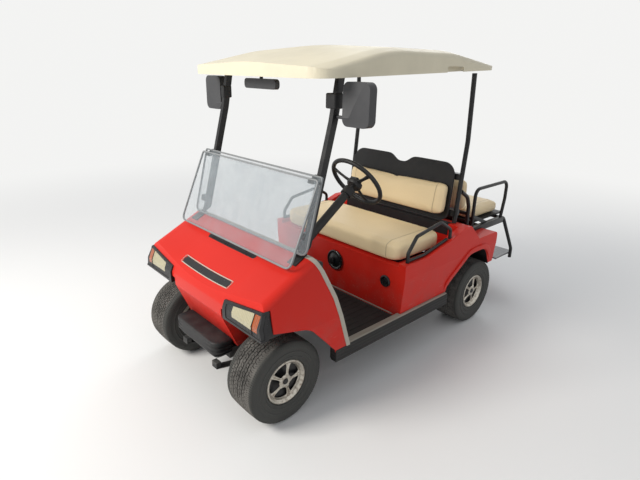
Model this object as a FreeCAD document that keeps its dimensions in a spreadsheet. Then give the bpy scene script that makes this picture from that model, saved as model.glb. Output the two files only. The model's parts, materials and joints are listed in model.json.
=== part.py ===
import FreeCAD, Part
import math
import os
import re
import Sketcher

# Golf cart with a rear-facing seat, in millimetres.
# X points to the driver's side, Y to the rear and Z up; the ground is at Z = 0.
# Pieces are drawn about the middle of the wheelbase, and each is shifted at the end so that the
# origin lies under the middle of the whole cart.

Vector = FreeCAD.Vector

SIZES = {
    # Running gear
    "wheelbase": 1664, "front_track": 876, "rear_track": 978, "tyre_radius": 228.5, "tyre_width": 216,
    "tread_width": 172, "tread_round": 22, "sidewall_round": 34, "groove_wide": 7, "groove_deep": 7,
    "groove_pitch": 36, "bead_radius": 101.6, "bead_width": 172, "flange_radius": 122,
    "flange_thick": 7, "rim_wall": 6, "dish_edge": 100, "dish_depth": 16, "spoke_thick": 8,
    "spoke_count": 5, "window_out": 84, "window_in": 44, "window_half": 19, "window_foot": 9,
    "hub_radius": 34, "hub_inner": 10, "cap_radius": 26, "cap_proud": 6, "spindle_radius": 15,
    "spindle_tip": 56, "pin_fit": 0.3, "face_fit": 0.5,
    # Front axle and steering gear
    "kingpin_spread": 620, "kingpin_radius": 9, "clevis_gap": 60, "clevis_plate": 12,
    "clevis_reach": 40, "clevis_half": 22, "knuckle_half": 22, "arm_length": 120, "arm_thick": 12,
    "arm_half": 13, "arm_round": 12, "rod_radius": 6, "ball_radius": 12, "ball_pin": 5, "ball_high": 16,
    "beam_radius": 22, "beam_drop": 24, "leaf_wide": 45, "leaf_thick": 8, "leaf_half": 190,
    "leaf_rise": 30, "eye_radius": 14,
    # Rear axle
    "axle_radius": 32, "drum_radius": 84, "drum_width": 46, "drum_gap": 4, "housing_radius": 92,
    "housing_width": 150, "housing_place": 60, "motor_radius": 92, "motor_length": 115,
    # Frame
    "rail_place": 160, "rail_wide": 50, "rail_low": 240, "rail_top": 300, "rail_rear": 208,
    "rail_lift": 96, "kick_start": -362, "kick_end": -242, "member_wide": 46, "outrigger_wide": 40,
    "outrigger_deep": 34,
    # Floor and rockers
    "floor_thick": 6, "mat_thick": 6, "mat_margin": 16, "toe_rise": 135, "mat_rib": 3,
    "mat_rib_wide": 12, "mat_rib_pitch": 44, "mat_ribs": 23, "rocker_in": 556, "rocker_low": 255,
    "rocker_front": 276, "pedal_brake": 205, "pedal_drive": 330, "pedal_half": 38,
    "pedal_low": 350, "pedal_high": 440, "pedal_stand": 34, "pedal_thick": 9, "pedal_arm": 9,
    "rocker_rear": -362, "rocker_step": 12, "dash_deep": 166, "toe_set": 42, "toe_run": 159,
    "rocker_high": 80, "rocker_wide": 48,
    # Cowl
    "cowl_wall": 5, "cowl_half": 600, "cowl_top_half": 556, "cowl_round": 46, "hood_rear": 130,
    "hood_height": 846, "hood_crown": 12, "hood_valley": 58, "nose": -180, "nose_round": 40,
    "chin_low": 335, "chin_half": 243, "heel_height": 311, "arch_front": -268,
    "arch_bend_height": 523, "arch_foot_height": 329, "arch_round": 150, "well_low": 200,
    "trim_wide": 26, "trim_proud": 3, "hood_fall": 124, "nose_drop": 110, "nose_deep": 67,
    "nose_run": 57, "chin_run": 90, "brow_run": 51, "brow_drop": 53, "knee_run": 77,
    "knee_drop": 214, "heel_run": 101, "arch_drop": 5, "arch_run": 178, "arch_gap": 85,
    # Dash
    "dash_half": 505, "dash_round": 14, "cup_radius": 36, "cup_depth": 70, "cup_place": 330,
    "bin_place": 110, "bin_half": 78, "bin_deep": 60, "dash_run": 130, "dash_drop": 40, "cup_run": 80,
    "bin_lip": 28, "bin_high": 84,
    # Lamps and bumper
    "lamp_in": 272, "lens_gap": 6, "lens_deep": 24, "lens_sunk": 3, "bumper_half": 215,
    "bumper_top": 375, "bumper_round": 28, "bumper_taper": 26, "lamp_lift": 3, "lamp_high_in": 98,
    "lamp_high_out": 142, "lamp_proud": 10, "lamp_deep": 64, "lens_sill": 16, "lens_brow_in": 12,
    "lens_brow_out": 18, "lens_margin_in": 28, "signal_wide": 86, "signal_drop": 6,
    "bumper_proud": 34, "bumper_high": 102,
    # Struts
    "strut_place": 470, "strut_wide": 26, "strut_deep": 38, "strut_head": 380, "strut_round": 120,
    "foot_plate": 6, "foot_half": 32, "rear_strut_place": 480, "rear_strut_across": 30,
    "rear_strut_foot": -182, "rear_strut_round": 260, "strut_set": 14, "strut_sink": 40, "strut_run": 61,
    "strut_rise": 74, "neck_run": 42, "neck_drop": 220, "head_run": 34, "bend_run": 50,
    "bend_rise": 538,
    # Roof
    "roof_half": 560, "roof_front": 177, "roof_rear": -14, "crown_front": 632, "crown_rear": -482,
    "roof_wall": 6, "roof_corner": 110, "roof_drop": 22, "roof_shoulder": 480, "roof_side_drop": 42,
    "roof_bend": 1200, "roof_round": 34, "hold_front": -562, "hold_rear": -402, "hold_lift": 34,
    "hold_round": 14, "strut_seat": 1700, "seat_rib_half": 30, "roof_rise": 138,
    "roof_lip_front": 32, "roof_lip_rear": 22, "crown_fall_front": 101, "crown_fall_rear": 64,
    # Windshield
    "pane_thick": 5, "pane_half": 526, "pane_round": 40, "pane_gap": 22, "clip_half": 22,
    "clip_high": 34, "pane_lift": 18, "pane_high": 372, "fold_set": 98, "fold_sink": 24,
    "fold_run": 176, "fold_high": 402,
    # Mirrors
    "mirror_half": 82, "mirror_deep": 46, "mirror_round": 34, "glass_deep": 4, "glass_margin": 11,
    "mirror_arm": 8, "centre_mirror_half": 135, "centre_mirror_deep": 28, "centre_stem": 9,
    "mirror_high": 196, "mirror_hang": 238, "arm_lift": 38, "mirror_set": 28, "arm_set": 12,
    "mirror_reach": 134, "centre_hang": 44, "centre_high": 50, "centre_set": 95,
    # Steering wheel and column
    "steer_place": 270, "steer_row": 702, "steer_height": 1078, "column_drop": 49, "column_radius": 24,
    "column_start": 70, "steer_shaft": 11, "steer_radius": 164, "grip_radius": 13,
    "steer_hub": 44, "steer_hub_deep": 30, "steer_dish": 22, "steer_spoke": 12, "steer_spokes": 3,
    "collar_radius": 34,
    "collar_deep": 46,
    # Pod and rear body
    "body_half": 600, "body_foot_half": 577, "body_wall": 5, "pod_front": -832, "pod_lean": -8,
    "ledge": 632, "hip_start": -632, "hip_rise": -380, "hip_peak": -182, "deck_start": -32,
    "deck_round": 60, "tail": 218, "tail_low": 408, "sill_rear": -370, "rear_arch_foot": -370,
    "rear_arch_knee": -340, "rear_arch_knee_height": 395, "rear_arch_front": -132,
    "rear_arch_height": 550, "rear_arch_rear": 73, "rear_arch_tail": 172,
    "rear_arch_tail_height": 396, "rear_arch_round": 120, "liner_in": 335, "liner_thick": 5,
    "bay_front": -786, "bay_rear": -380, "bay_half": 500, "recess_front": -852, "recess_rear": -232,
    "recess_margin": 6, "socket_place": 456, "socket_height": 512, "socket_radius": 37,
    "socket_proud": 9, "shifter_place": 30, "shifter_height": 520, "shifter_radius": 67,
    "shifter_lever": 40, "side_lift": 21, "hip_lift": 74, "hip_high": 120, "deck_lift": 8,
    "tail_lift": 0, "shoulder_drop": 72,
    # Front seat
    "seat_half": 540, "seat_front": -846, "seat_rear": -358, "seat_round": 36, "back_half": 446,
    "back_front_low": -297, "back_front_top": -242, "back_round": 26, "shell_half": 452,
    "shell_low_row": -220, "shell_top_row": -177, "shell_thick": 14, "shell_hump": 100, "shell_bend": 150,
    "soft_gap": 0.3, "bracket_half": 20, "seat_high": 122, "back_lift": 158, "back_high": 234,
    "shell_lift": 124, "shell_high": 394, "shell_dip": 46, "bracket_lift": 10, "bracket_drop": 110,
    # Hip restraints
    "hip_place": 572, "hip_across": 22, "hip_foot": -792, "hip_knee": -720, "hip_apex": -482,
    "hip_back": -366, "hip_bend": 36, "hip_leg": 59, "hip_knee_lift": 147, "hip_apex_lift": 185,
    "hip_back_lift": 117,
    # Rear seat kit
    "kit_place": 470, "kit_across": 26, "kit_front": 0, "kit_corner": 538, "kit_bend": 60,
    "brace_turn": -32, "hanger_foot": 760, "hanger_bend": 70, "cross_front": 188, "cross_rear": 508,
    "arm_front": 73, "arm_rear": 516, "arm_foot": 490, "arm_bend": 52, "arm_across": 24,
    "rear_seat_half": 425, "rear_seat_front": 153, "rear_seat_rear": 592, "rear_seat_deep": 100,
    "rear_board": 14, "rear_seat_round": 34, "rear_back_deep": 86, "rear_back_lean": 16,
    "plate_half": 452, "hanger_pin": 5, "plate_front": 560, "tail_reach": 828, "plate_low": 286,
    "plate_thick": 12, "plate_lip": 24, "plate_lip_thick": 8, "brace_lift": 315, "turn_lift": 265,
    "shoulder_lift": 190, "cross_lift": 140, "arm_high": 300, "arm_knee_lift": 167,
    "rear_back_lift": 124, "rear_back_high": 248, "knee_lift": 54,
    # Batteries
    "battery_front": -758, "battery_rear": -392, "battery_half": 400, "battery_gap": 10, "battery_rows": 2,
    "battery_columns": 3, "tray_thick": 6, "battery_high": 284,
}

# Rows along Y that are kept as distances from the front axle, and those kept from the rear axle.
FRONT_ROWS = (
    "hood_rear", "nose", "arch_front", "rocker_front", "strut_head", "roof_front", "crown_front",
    "steer_row",
)
REAR_ROWS = (
    "rail_rear", "kick_start", "kick_end", "rocker_rear", "rear_strut_foot", "roof_rear",
    "crown_rear", "hold_front", "hold_rear", "pod_front", "hip_start", "hip_rise", "hip_peak",
    "deck_start", "tail", "sill_rear", "rear_arch_foot", "rear_arch_knee", "rear_arch_front",
    "rear_arch_rear", "rear_arch_tail", "bay_front", "bay_rear", "recess_front", "recess_rear",
    "seat_front", "seat_rear", "back_front_low", "back_front_top", "shell_low_row", "shell_top_row",
    "hip_foot", "hip_knee", "hip_apex", "hip_back", "kit_front", "kit_corner", "brace_turn",
    "hanger_foot", "cross_front", "cross_rear", "arm_front", "arm_rear", "arm_foot",
    "rear_seat_front", "rear_seat_rear", "plate_front", "tail_reach", "battery_front",
    "battery_rear",
)

# Places that follow others, so that each size carries its neighbours.
PLACES = {
    "hood_front_height": "hood_height - hood_fall",
    "nose_top": "hood_front_height - nose_drop",
    "nose_low": "nose_top - nose_deep",
    "hood_front": "nose + nose_run",
    "chin": "nose + chin_run",
    "brow": "hood_rear + brow_run",
    "brow_height": "hood_height - brow_drop",
    "knee": "brow + knee_run",
    "knee_height": "hood_height - knee_drop",
    "heel": "knee + heel_run",
    "arch_front_height": "nose_top - arch_drop",
    "arch_bend": "arch_foot - arch_run",
    "arch_foot": "heel - arch_gap",
    "dash_front": "hood_rear + dash_run",
    "dash_height": "hood_height - dash_drop",
    "dash_low": "dash_height - dash_deep",
    "cup_row": "hood_rear + cup_run",
    "bin_low": "dash_low + bin_lip",
    "bin_top": "bin_low + bin_high",
    "toe_knee": "dash_front - toe_set",
    "toe_start": "toe_knee + toe_run",
    "toe_height": "dash_low - toe_rise",
    "column_run": "steer_row - dash_front",
    "column_rise": "steer_height - dash_height + column_drop",
    "column_tilt": "atan(column_rise/column_run)/1deg",
    "column_length": "sqrt(column_run^2 + column_rise^2) + 2*column_radius",
    "rocker_top": "rocker_low + rocker_high",
    "rocker_out": "rocker_in + rocker_wide",
    "lamp_low": "nose_low + lamp_lift",
    "lamp_top_in": "lamp_low + lamp_high_in",
    "lamp_top_out": "lamp_low + lamp_high_out",
    "lamp_back": "nose + lamp_deep",
    "lens_low": "lamp_low + lens_sill",
    "lens_top_in": "lamp_top_in - lens_brow_in",
    "lens_top_out": "lamp_top_out - lens_brow_out",
    "lens_in": "lamp_in + lens_margin_in",
    "lamp_out": "cowl_half + cowl_wall",
    "lens_split": "lamp_out - signal_wide - lens_gap",
    "bumper_front": "nose - bumper_proud",
    "bumper_low": "bumper_top - bumper_high",
    "strut_foot": "hood_rear - strut_set",
    "strut_foot_height": "hood_height - strut_sink",
    "strut_bend": "strut_foot + strut_run",
    "strut_bend_height": "strut_foot_height + strut_rise",
    "strut_neck": "strut_head - neck_run",
    "strut_neck_height": "strut_seat - neck_drop",
    "roof_crown": "strut_seat + roof_rise",
    "roof_low_front": "strut_seat - roof_lip_front",
    "roof_low_rear": "strut_seat + roof_lip_rear",
    "roof_edge_front": "roof_crown - crown_fall_front",
    "roof_edge_rear": "roof_crown - crown_fall_rear",
    "rear_strut_head": "rear_strut_foot + head_run",
    "rear_strut_bend": "rear_strut_foot + bend_run",
    "rear_strut_bend_height": "hip_height + bend_rise",
    "lower_pane_foot": "hood_height + pane_lift",
    "lower_pane_head": "lower_pane_foot + pane_high",
    "fold_foot": "hood_rear - fold_set",
    "fold_foot_height": "hood_height - fold_sink",
    "fold_head": "fold_foot + fold_run",
    "fold_head_height": "fold_foot_height + fold_high",
    "mirror_top": "mirror_low + mirror_high",
    "mirror_low": "strut_seat - mirror_hang",
    "mirror_arm_height": "mirror_low + arm_lift",
    "mirror_row": "strut_neck + mirror_set",
    "mirror_arm_row": "strut_neck + arm_set",
    "mirror_place": "strut_place + mirror_reach",
    "centre_mirror_top": "strut_seat - centre_hang",
    "centre_mirror_low": "centre_mirror_top - centre_high",
    "centre_mirror_row": "roof_front + centre_set",
    "centre_round": "2*centre_high/5",
    "side_top": "ledge + side_lift",
    "hip_rise_height": "ledge + hip_lift",
    "hip_height": "ledge + hip_high",
    "deck_height": "ledge + deck_lift",
    "tail_height": "deck_height + tail_lift",
    "body_shoulder": "ledge - shoulder_drop",
    "seat_top": "ledge + seat_high",
    "back_low": "ledge + back_lift",
    "back_top": "back_low + back_high",
    "shell_low": "ledge + shell_lift",
    "shell_top": "shell_low + shell_high",
    "shell_valley": "shell_top - shell_dip",
    "bracket_low": "back_low + bracket_lift",
    "bracket_high": "shell_top - bracket_drop",
    "hip_foot_height": "side_top + hip_leg",
    "hip_knee_height": "side_top + hip_knee_lift",
    "hip_apex_height": "side_top + hip_apex_lift",
    "hip_back_height": "side_top + hip_back_lift",
    "brace_height": "deck_height + brace_lift",
    "brace_turn_height": "deck_height + turn_lift",
    "kit_shoulder": "deck_height + shoulder_lift",
    "cross_back": "deck_height + cross_lift",
    "arm_top": "deck_height + arm_high",
    "arm_knee": "deck_height + arm_knee_lift",
    "rear_back_low": "deck_height + rear_back_lift",
    "rear_back_top": "rear_back_low + rear_back_high",
    "hanger_knee": "plate_low + knee_lift",
    "battery_low": "rail_top + tray_thick",
    "battery_top": "battery_low + battery_high",
}

DOC = FreeCAD.newDocument("golf_cart")
SHEET = DOC.addObject("Spreadsheet::Sheet", "size")
for row, (alias, number) in enumerate(SIZES.items(), start=1):
    SHEET.set(f"A{row}", alias)
    SHEET.set(f"B{row}", str(number))
    SHEET.setAlias(f"B{row}", alias)
DOC.recompute()

# Every piece stands on this middle of the cart's length, from the front tyres to the footplate.
ORIGIN = "(tail_reach - wheelbase/2 - tyre_radius)/2"
# The bumper's back lies on the cowl's sloping foot at the height of the bumper's top.
BUMPER_REAR = "chin - (chin - nose)*(bumper_top - chin_low)/(nose_low - chin_low) - soft_gap"
NORMALS = {"XY_Plane": 1, "XZ_Plane": -1, "YZ_Plane": 1}
X_AXIS = Vector(1, 0, 0)
Y_AXIS = Vector(0, 1, 0)
Z_AXIS = Vector(0, 0, 1)
NODES = []


def spelled(word):
    """A named place or row spelled out, a named size pointed at the spreadsheet, or the word."""
    name = word[0]
    if name in PLACES:
        return f"({sheet_text(PLACES[name])})"
    if name in FRONT_ROWS:
        return f"(size.{name} - size.wheelbase/2)"
    if name in REAR_ROWS:
        return f"(size.{name} + size.wheelbase/2)"
    return f"size.{name}" if name in SIZES else name


def sheet_text(text):
    """The expression in terms of the spreadsheet's cells."""
    return re.sub(r"[a-z]\w*", spelled, str(text))


def value(text):
    """What an expression of named sizes is worth, in millimetres or degrees."""
    result = SHEET.evalExpression(sheet_text(text))
    return float(getattr(result, "Value", result))


def bind(thing, **texts):
    """Ties properties to expressions; two underscores stand for a dot in the property's path."""
    for path, text in texts.items():
        thing.setExpression(path.replace("__", "."), sheet_text(text))


def node(thing, label, x="0", y="0", z="0", turn=None):
    """Names a finished piece, turns it about an axis and stands it at its place."""
    thing.Label = label
    if turn:
        axis, angle = turn
        thing.Placement = FreeCAD.Placement(Vector(), FreeCAD.Rotation(axis, value(angle)))
    bind(thing, Placement__Base__x=x, Placement__Base__y=f"({y}) - {ORIGIN}", Placement__Base__z=z)
    if turn and not angle.isdigit():
        bind(thing, Placement__Rotation__Angle=f"({angle})*1deg")
    NODES.append(thing)
    return thing


def new_body():
    """An empty body that may hold several solids."""
    made = DOC.addObject("PartDesign::Body", "body")
    made.AllowCompound = True
    return made


def origin_plane(owner, role):
    """One of the body's own origin planes or axes."""
    return next(item for item in owner.Origin.OriginFeatures if item.Role == role)


def round_corner(before, corner, after, radius):
    """The arc that rounds a corner, with the points where it leaves both sides."""
    back = (before - corner).normalize()
    ahead = (after - corner).normalize()
    half_turn = back.getAngle(ahead) / 2
    reach = radius / math.tan(half_turn)
    centre = corner + (back + ahead).normalize() * (radius / math.sin(half_turn))
    first = corner + back * reach
    last = corner + ahead * reach
    angles = [math.atan2(point.y - centre.y, point.x - centre.x) for point in (first, last)]
    if (first - centre).cross(last - centre).z < 0:
        angles.reverse()
    if angles[1] < angles[0]:
        angles[1] += 2 * math.pi
    return Part.ArcOfCircle(Part.Circle(centre, Z_AXIS, radius), *angles), first, last


def draw(drawn, corners, closed):
    """Draws straight sides through the corners; a third value rounds a corner to that radius."""
    points = [Vector(value(corner[0]), value(corner[1]), 0) for corner in corners]
    count = len(points)
    arcs = {}
    ends = [(point, point) for point in points]
    for place, corner in enumerate(corners):
        if len(corner) > 2:
            following = points[(place + 1) % count]
            radius = value(corner[2])
            arc, first, last = round_corner(points[place - 1], points[place], following, radius)
            arcs[place] = arc
            ends[place] = (first, last)
    side_count = count if closed else count - 1
    sides = []
    for place in range(side_count):
        side = Part.LineSegment(ends[place][1], ends[(place + 1) % count][0])
        sides.append(drawn.addGeometry(side, False))
    rules = []
    for place, corner in enumerate(corners):
        has_before = closed or place > 0
        has_after = closed or place < count - 1
        before = sides[place - 1] if has_before else None
        after = sides[place] if has_after else None
        if place in arcs:
            arc = drawn.addGeometry(arcs[place], False)
            starts_first = (arcs[place].StartPoint - ends[place][0]).Length < (
                arcs[place].StartPoint - ends[place][1]).Length
            near, far = (1, 2) if starts_first else (2, 1)
            mark = drawn.addGeometry(Part.Point(points[place]), True)
            rules.append((Sketcher.Constraint("Tangent", before, 2, arc, near), None))
            rules.append((Sketcher.Constraint("Tangent", arc, far, after, 1), None))
            rules.append((Sketcher.Constraint("PointOnObject", mark, 1, before), None))
            rules.append((Sketcher.Constraint("PointOnObject", mark, 1, after), None))
            rules.append((Sketcher.Constraint("Radius", arc, value(corner[2])), corner[2]))
            held = (mark, 1)
        elif has_before and has_after:
            rules.append((Sketcher.Constraint("Coincident", before, 2, after, 1), None))
            held = (after, 1)
        else:
            held = (after, 1) if has_after else (before, 2)
        for kind, text in (("DistanceX", corner[0]), ("DistanceY", corner[1])):
            rules.append((Sketcher.Constraint(kind, -1, 1, *held, value(text)), text))
    first_rule = drawn.ConstraintCount
    drawn.addConstraint([rule for rule, text in rules])
    for place, (rule, text) in enumerate(rules, start=first_rule):
        if text is not None:
            drawn.setExpression(f"Constraints[{place}]", sheet_text(text))


def draw_circle(drawn, x, y, radius):
    """A circle held by its centre and its radius."""
    circle = drawn.addGeometry(Part.Circle(Vector(value(x), value(y), 0), Z_AXIS, value(radius)), False)
    rules = (("DistanceX", (-1, 1, circle, 3), x), ("DistanceY", (-1, 1, circle, 3), y),
             ("Radius", (circle,), radius))
    for kind, where, text in rules:
        place = drawn.addConstraint(Sketcher.Constraint(kind, *where, value(text)))
        drawn.setExpression(f"Constraints[{place}]", sheet_text(text))


def sketch(owner, plane, shapes, start="0", closed=True):
    """A sketch on one of the body's planes, moved along its normal; a shape is corners or a circle."""
    drawn = owner.newObject("Sketcher::SketchObject", "sketch")
    drawn.AttachmentSupport = [(origin_plane(owner, plane), "")]
    drawn.MapMode = "FlatFace"
    bind(drawn, AttachmentOffset__Base__z=f"({start})*{NORMALS[plane]}")
    for shape in shapes:
        if isinstance(shape, tuple):
            draw_circle(drawn, *shape)
        else:
            draw(drawn, shape, closed)
    return drawn


def slab(owner, kind, plane, low, high, *shapes):
    """Adds (Pad) or cuts (Pocket) the shapes from low to high along the plane's normal."""
    forward = (kind == "Pad") == (NORMALS[plane] > 0)
    drawn = sketch(owner, plane, shapes, low if forward else high)
    feature = owner.newObject("PartDesign::" + kind, kind.lower())
    feature.Profile = drawn
    bind(feature, Length=f"({high}) - ({low})")
    return feature


def prism(plane, low, high, *shapes):
    """A body with the shapes pushed from low to high."""
    made = new_body()
    slab(made, "Pad", plane, low, high, *shapes)
    return made


def spin(owner, kind, corners):
    """Turns an outline in the XY plane about the X axis; its second value is the radius."""
    drawn = sketch(owner, "XY_Plane", [corners])
    feature = owner.newObject("PartDesign::" + kind, kind.lower())
    feature.Profile = drawn
    feature.ReferenceAxis = (drawn, ["H_Axis"])
    feature.Angle = 360
    return feature


def fillet(owner, radius, wanted):
    """Rounds those edges of the body so far that the test wants."""
    DOC.recompute()
    base = owner.Tip
    names = [f"Edge{place}" for place, edge in enumerate(base.Shape.Edges, start=1) if wanted(edge)]
    feature = owner.newObject("PartDesign::Fillet", "fillet")
    feature.Base = (base, names)
    bind(feature, Radius=radius)
    return feature


def tube(plane, start, radius, *path):
    """A bent rod along a path in a plane that is moved to start."""
    made = new_body()
    spine = sketch(made, plane, [list(path)], start, closed=False)
    DOC.recompute()
    ring = made.newObject("Sketcher::SketchObject", "ring")
    ring.AttachmentSupport = [(spine, "Edge1")]
    ring.MapMode = "NormalToEdge"
    draw_circle(ring, "0", "0", radius)
    pipe = made.newObject("PartDesign::AdditivePipe", "pipe")
    pipe.Profile = ring
    pipe.Spine = spine
    return made


def box(x, y, z, length, width, height):
    """A block from its low corner and its three sides."""
    made = DOC.addObject("Part::Box", "block")
    bind(made, Length=length, Width=width, Height=height)
    bind(made, Placement__Base__x=x, Placement__Base__y=y, Placement__Base__z=z)
    return made


def rod(radius, length, x, y, z, along=Z_AXIS):
    """A round bar that starts at a place and runs along an axis."""
    made = DOC.addObject("Part::Cylinder", "rod")
    made.Placement = FreeCAD.Placement(Vector(), FreeCAD.Rotation(Z_AXIS, along))
    bind(made, Radius=radius, Height=length)
    bind(made, Placement__Base__x=x, Placement__Base__y=y, Placement__Base__z=z)
    return made


def fuse(*parts):
    """One piece from several that meet."""
    made = DOC.addObject("Part::MultiFuse", "joined")
    made.Shapes = list(parts)
    return made


def common(*parts):
    """What all the parts share."""
    made = DOC.addObject("Part::MultiCommon", "shared")
    made.Shapes = list(parts)
    return made


def cut(base, tool):
    """The base without the tool's space."""
    made = DOC.addObject("Part::Cut", "cut")
    made.Base = base
    made.Tool = tool
    return made


def group(*parts):
    """Several pieces that don't touch, kept together."""
    made = DOC.addObject("Part::Compound", "group")
    made.Links = list(parts)
    return made


def mirror(part, normal=X_AXIS):
    """The mirror image across the plane through the origin."""
    made = DOC.addObject("Part::Mirroring", "mirrored")
    made.Source = part
    made.Normal = normal
    return made


def pair(part):
    """A left piece with its mirror image on the right."""
    return group(part, mirror(part))


def make_tyre(label, x, y, turn):
    """A wide low tyre: bead, bulging sidewall, round shoulder and grooved tread."""
    made = new_body()
    half_section = [
        ("bead_width/2", "bead_radius"),
        ("bead_width/2", "flange_radius + pin_fit"),
        ("tyre_width/2", "flange_radius + sidewall_round", "sidewall_round"),
        ("tyre_width/2", "tyre_radius - sidewall_round", "sidewall_round"),
        ("tread_width/2", "tyre_radius", "tread_round"),
    ]
    other_half = [(f"-({corner[0]})", *corner[1:]) for corner in reversed(half_section)]
    spin(made, "Revolution", half_section + other_half)
    drawn = sketch(made, "XY_Plane", [[
        (f"{place}*groove_pitch - groove_wide/2", "tyre_radius - groove_deep"),
        (f"{place}*groove_pitch + groove_wide/2", "tyre_radius - groove_deep"),
        (f"{place}*groove_pitch + groove_wide/2", "tyre_radius + groove_deep"),
        (f"{place}*groove_pitch - groove_wide/2", "tyre_radius + groove_deep")]
        for place in (-1, 0, 1)])
    groove = made.newObject("PartDesign::Groove", "groove")
    groove.Profile = drawn
    groove.ReferenceAxis = (drawn, ["H_Axis"])
    groove.Angle = 360
    node(made, label, x, y, "tyre_radius", (Z_AXIS, turn))


def make_rim(label, x, y, turn):
    """A wheel with an outer lip, five spokes round open windows, and a hub with its cap."""
    made = new_body()
    spin(made, "Revolution", [
        ("-bead_width/2 - flange_thick", "bead_radius - rim_wall"),
        ("dish_edge - dish_depth - spoke_thick", "bead_radius - rim_wall"),
        ("dish_edge - dish_depth - spoke_thick", "hub_radius"),
        ("-hub_inner", "hub_radius"),
        ("-hub_inner", "spindle_radius + pin_fit"),
        ("spindle_tip + face_fit", "spindle_radius + pin_fit"),
        ("spindle_tip + face_fit", "0"),
        ("dish_edge + cap_proud - dish_depth", "0"),
        ("dish_edge + cap_proud - dish_depth", "cap_radius"),
        ("dish_edge - dish_depth", "hub_radius"),
        ("dish_edge - dish_depth", "window_out"),
        ("dish_edge", "bead_radius"),
        ("dish_edge", "flange_radius"),
        ("bead_width/2", "flange_radius"),
        ("bead_width/2", "bead_radius"),
        ("-bead_width/2", "bead_radius"),
        ("-bead_width/2", "flange_radius"),
        ("-bead_width/2 - flange_thick", "flange_radius"),
    ])
    window = slab(made, "Pocket", "YZ_Plane", "dish_edge - dish_depth - 2*spoke_thick", "dish_edge", [
        ("-window_foot", "window_in"), ("window_foot", "window_in"),
        ("window_half", "window_out"), ("-window_half", "window_out")])
    DOC.recompute()
    ring = made.newObject("PartDesign::PolarPattern", "windows")
    ring.Originals = [window]
    ring.Axis = (origin_plane(made, "X_Axis"), [""])
    ring.Angle = 360
    bind(ring, Occurrences="spoke_count")
    made.Tip = ring
    node(made, label, x, y, "tyre_radius", (Z_AXIS, turn))


def make_wheels():
    """Four wheels from a short table: name, place across, place along and half turn."""
    rows = (
        ("front_left", "front_track/2", "-wheelbase/2", "0"),
        ("front_right", "-front_track/2", "-wheelbase/2", "180"),
        ("rear_left", "rear_track/2", "wheelbase/2", "0"),
        ("rear_right", "-rear_track/2", "wheelbase/2", "180"),
    )
    for name, x, y, turn in rows:
        make_tyre("tyre_" + name, x, y, turn)
        make_rim("rim_" + name, x, y, turn)


def make_front_axle():
    """A dropped beam with a clevis and a kingpin at each end, on two leaf springs."""
    low = "tyre_radius - clevis_gap/2 - clevis_plate"
    tall = "clevis_gap + 2*clevis_plate"
    clevis_in = "kingpin_spread/2 - clevis_reach"
    web = box(f"{clevis_in} - clevis_plate", "-wheelbase/2 - clevis_half", low,
              "clevis_plate", "2*clevis_half", tall)
    plates = [box(clevis_in, "-wheelbase/2 - clevis_half", height,
                  "clevis_reach + clevis_half", "2*clevis_half", "clevis_plate")
              for height in (low, "tyre_radius + clevis_gap/2")]
    kingpin = rod("kingpin_radius", tall, "kingpin_spread/2", "-wheelbase/2", low)
    end = fuse(web, kingpin, *plates)
    beam = rod("beam_radius", f"2*({clevis_in} - clevis_plate)", f"-({clevis_in} - clevis_plate)",
               "-wheelbase/2", "tyre_radius - beam_drop", X_AXIS)
    node(fuse(beam, end, mirror(end)), "front_axle")


def make_knuckle(label, sign, turn):
    """A steering knuckle: its block on the kingpin, the spindle and the arm to the tie rod."""
    made = new_body()
    block = "clevis_gap/2 - face_fit"
    slab(made, "Pad", "XY_Plane", f"-({block})", block, [
        ("-knuckle_half", "-knuckle_half"), ("knuckle_half", "-knuckle_half"),
        ("knuckle_half", "knuckle_half"), ("-knuckle_half", "knuckle_half")])
    slab(made, "Pad", "YZ_Plane", "0", "front_track/2 + spindle_tip - kingpin_spread/2",
         ("0", "0", "spindle_radius"))
    reach = "arm_length" if sign > 0 else "-arm_length"
    tip = "arm_length + arm_half" if sign > 0 else "-arm_length - arm_half"
    slab(made, "Pad", "XY_Plane", "-arm_thick/2", "arm_thick/2", [
        ("-arm_half", "0"), ("arm_half", "0"),
        ("arm_half", tip, "arm_round"), ("-arm_half", tip, "arm_round")])
    slab(made, "Pocket", "XY_Plane", "-clevis_gap", "clevis_gap",
         ("0", "0", "kingpin_radius + pin_fit"), ("0", reach, "ball_pin + pin_fit"))
    node(made, label, "kingpin_spread/2" if sign > 0 else "-kingpin_spread/2",
         "-wheelbase/2", "tyre_radius", (Z_AXIS, turn))


def make_tie_rod():
    """The rod across the car under the knuckles' arms, with an eye and a pin at each end."""
    row = "-wheelbase/2 + arm_length"
    under = "tyre_radius - arm_thick/2 - pin_fit"
    eye = rod("ball_radius", "ball_high", "kingpin_spread/2", row, f"{under} - ball_high")
    pin = rod("ball_pin", "pin_fit + arm_thick", "kingpin_spread/2", row, under)
    bar = rod("rod_radius", "kingpin_spread", "-kingpin_spread/2", row, f"{under} - ball_high/2",
              X_AXIS)
    end = fuse(eye, pin)
    node(fuse(bar, end, mirror(end)), "tie_rod")


def leaf(middle, seat, eye_height):
    """One flat spring: level under the axle, rising to an eye at each end."""
    return prism("YZ_Plane", "rail_place - leaf_wide/2", "rail_place + leaf_wide/2", [
        (f"{middle} - leaf_half", f"{eye_height} - leaf_thick"),
        (f"{middle} - beam_radius*2", f"{seat} - leaf_thick"),
        (f"{middle} + beam_radius*2", f"{seat} - leaf_thick"),
        (f"{middle} + leaf_half", f"{eye_height} - leaf_thick"),
        (f"{middle} + leaf_half", eye_height),
        (f"{middle} + beam_radius*2", seat),
        (f"{middle} - beam_radius*2", seat),
        (f"{middle} - leaf_half", eye_height)])


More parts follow.
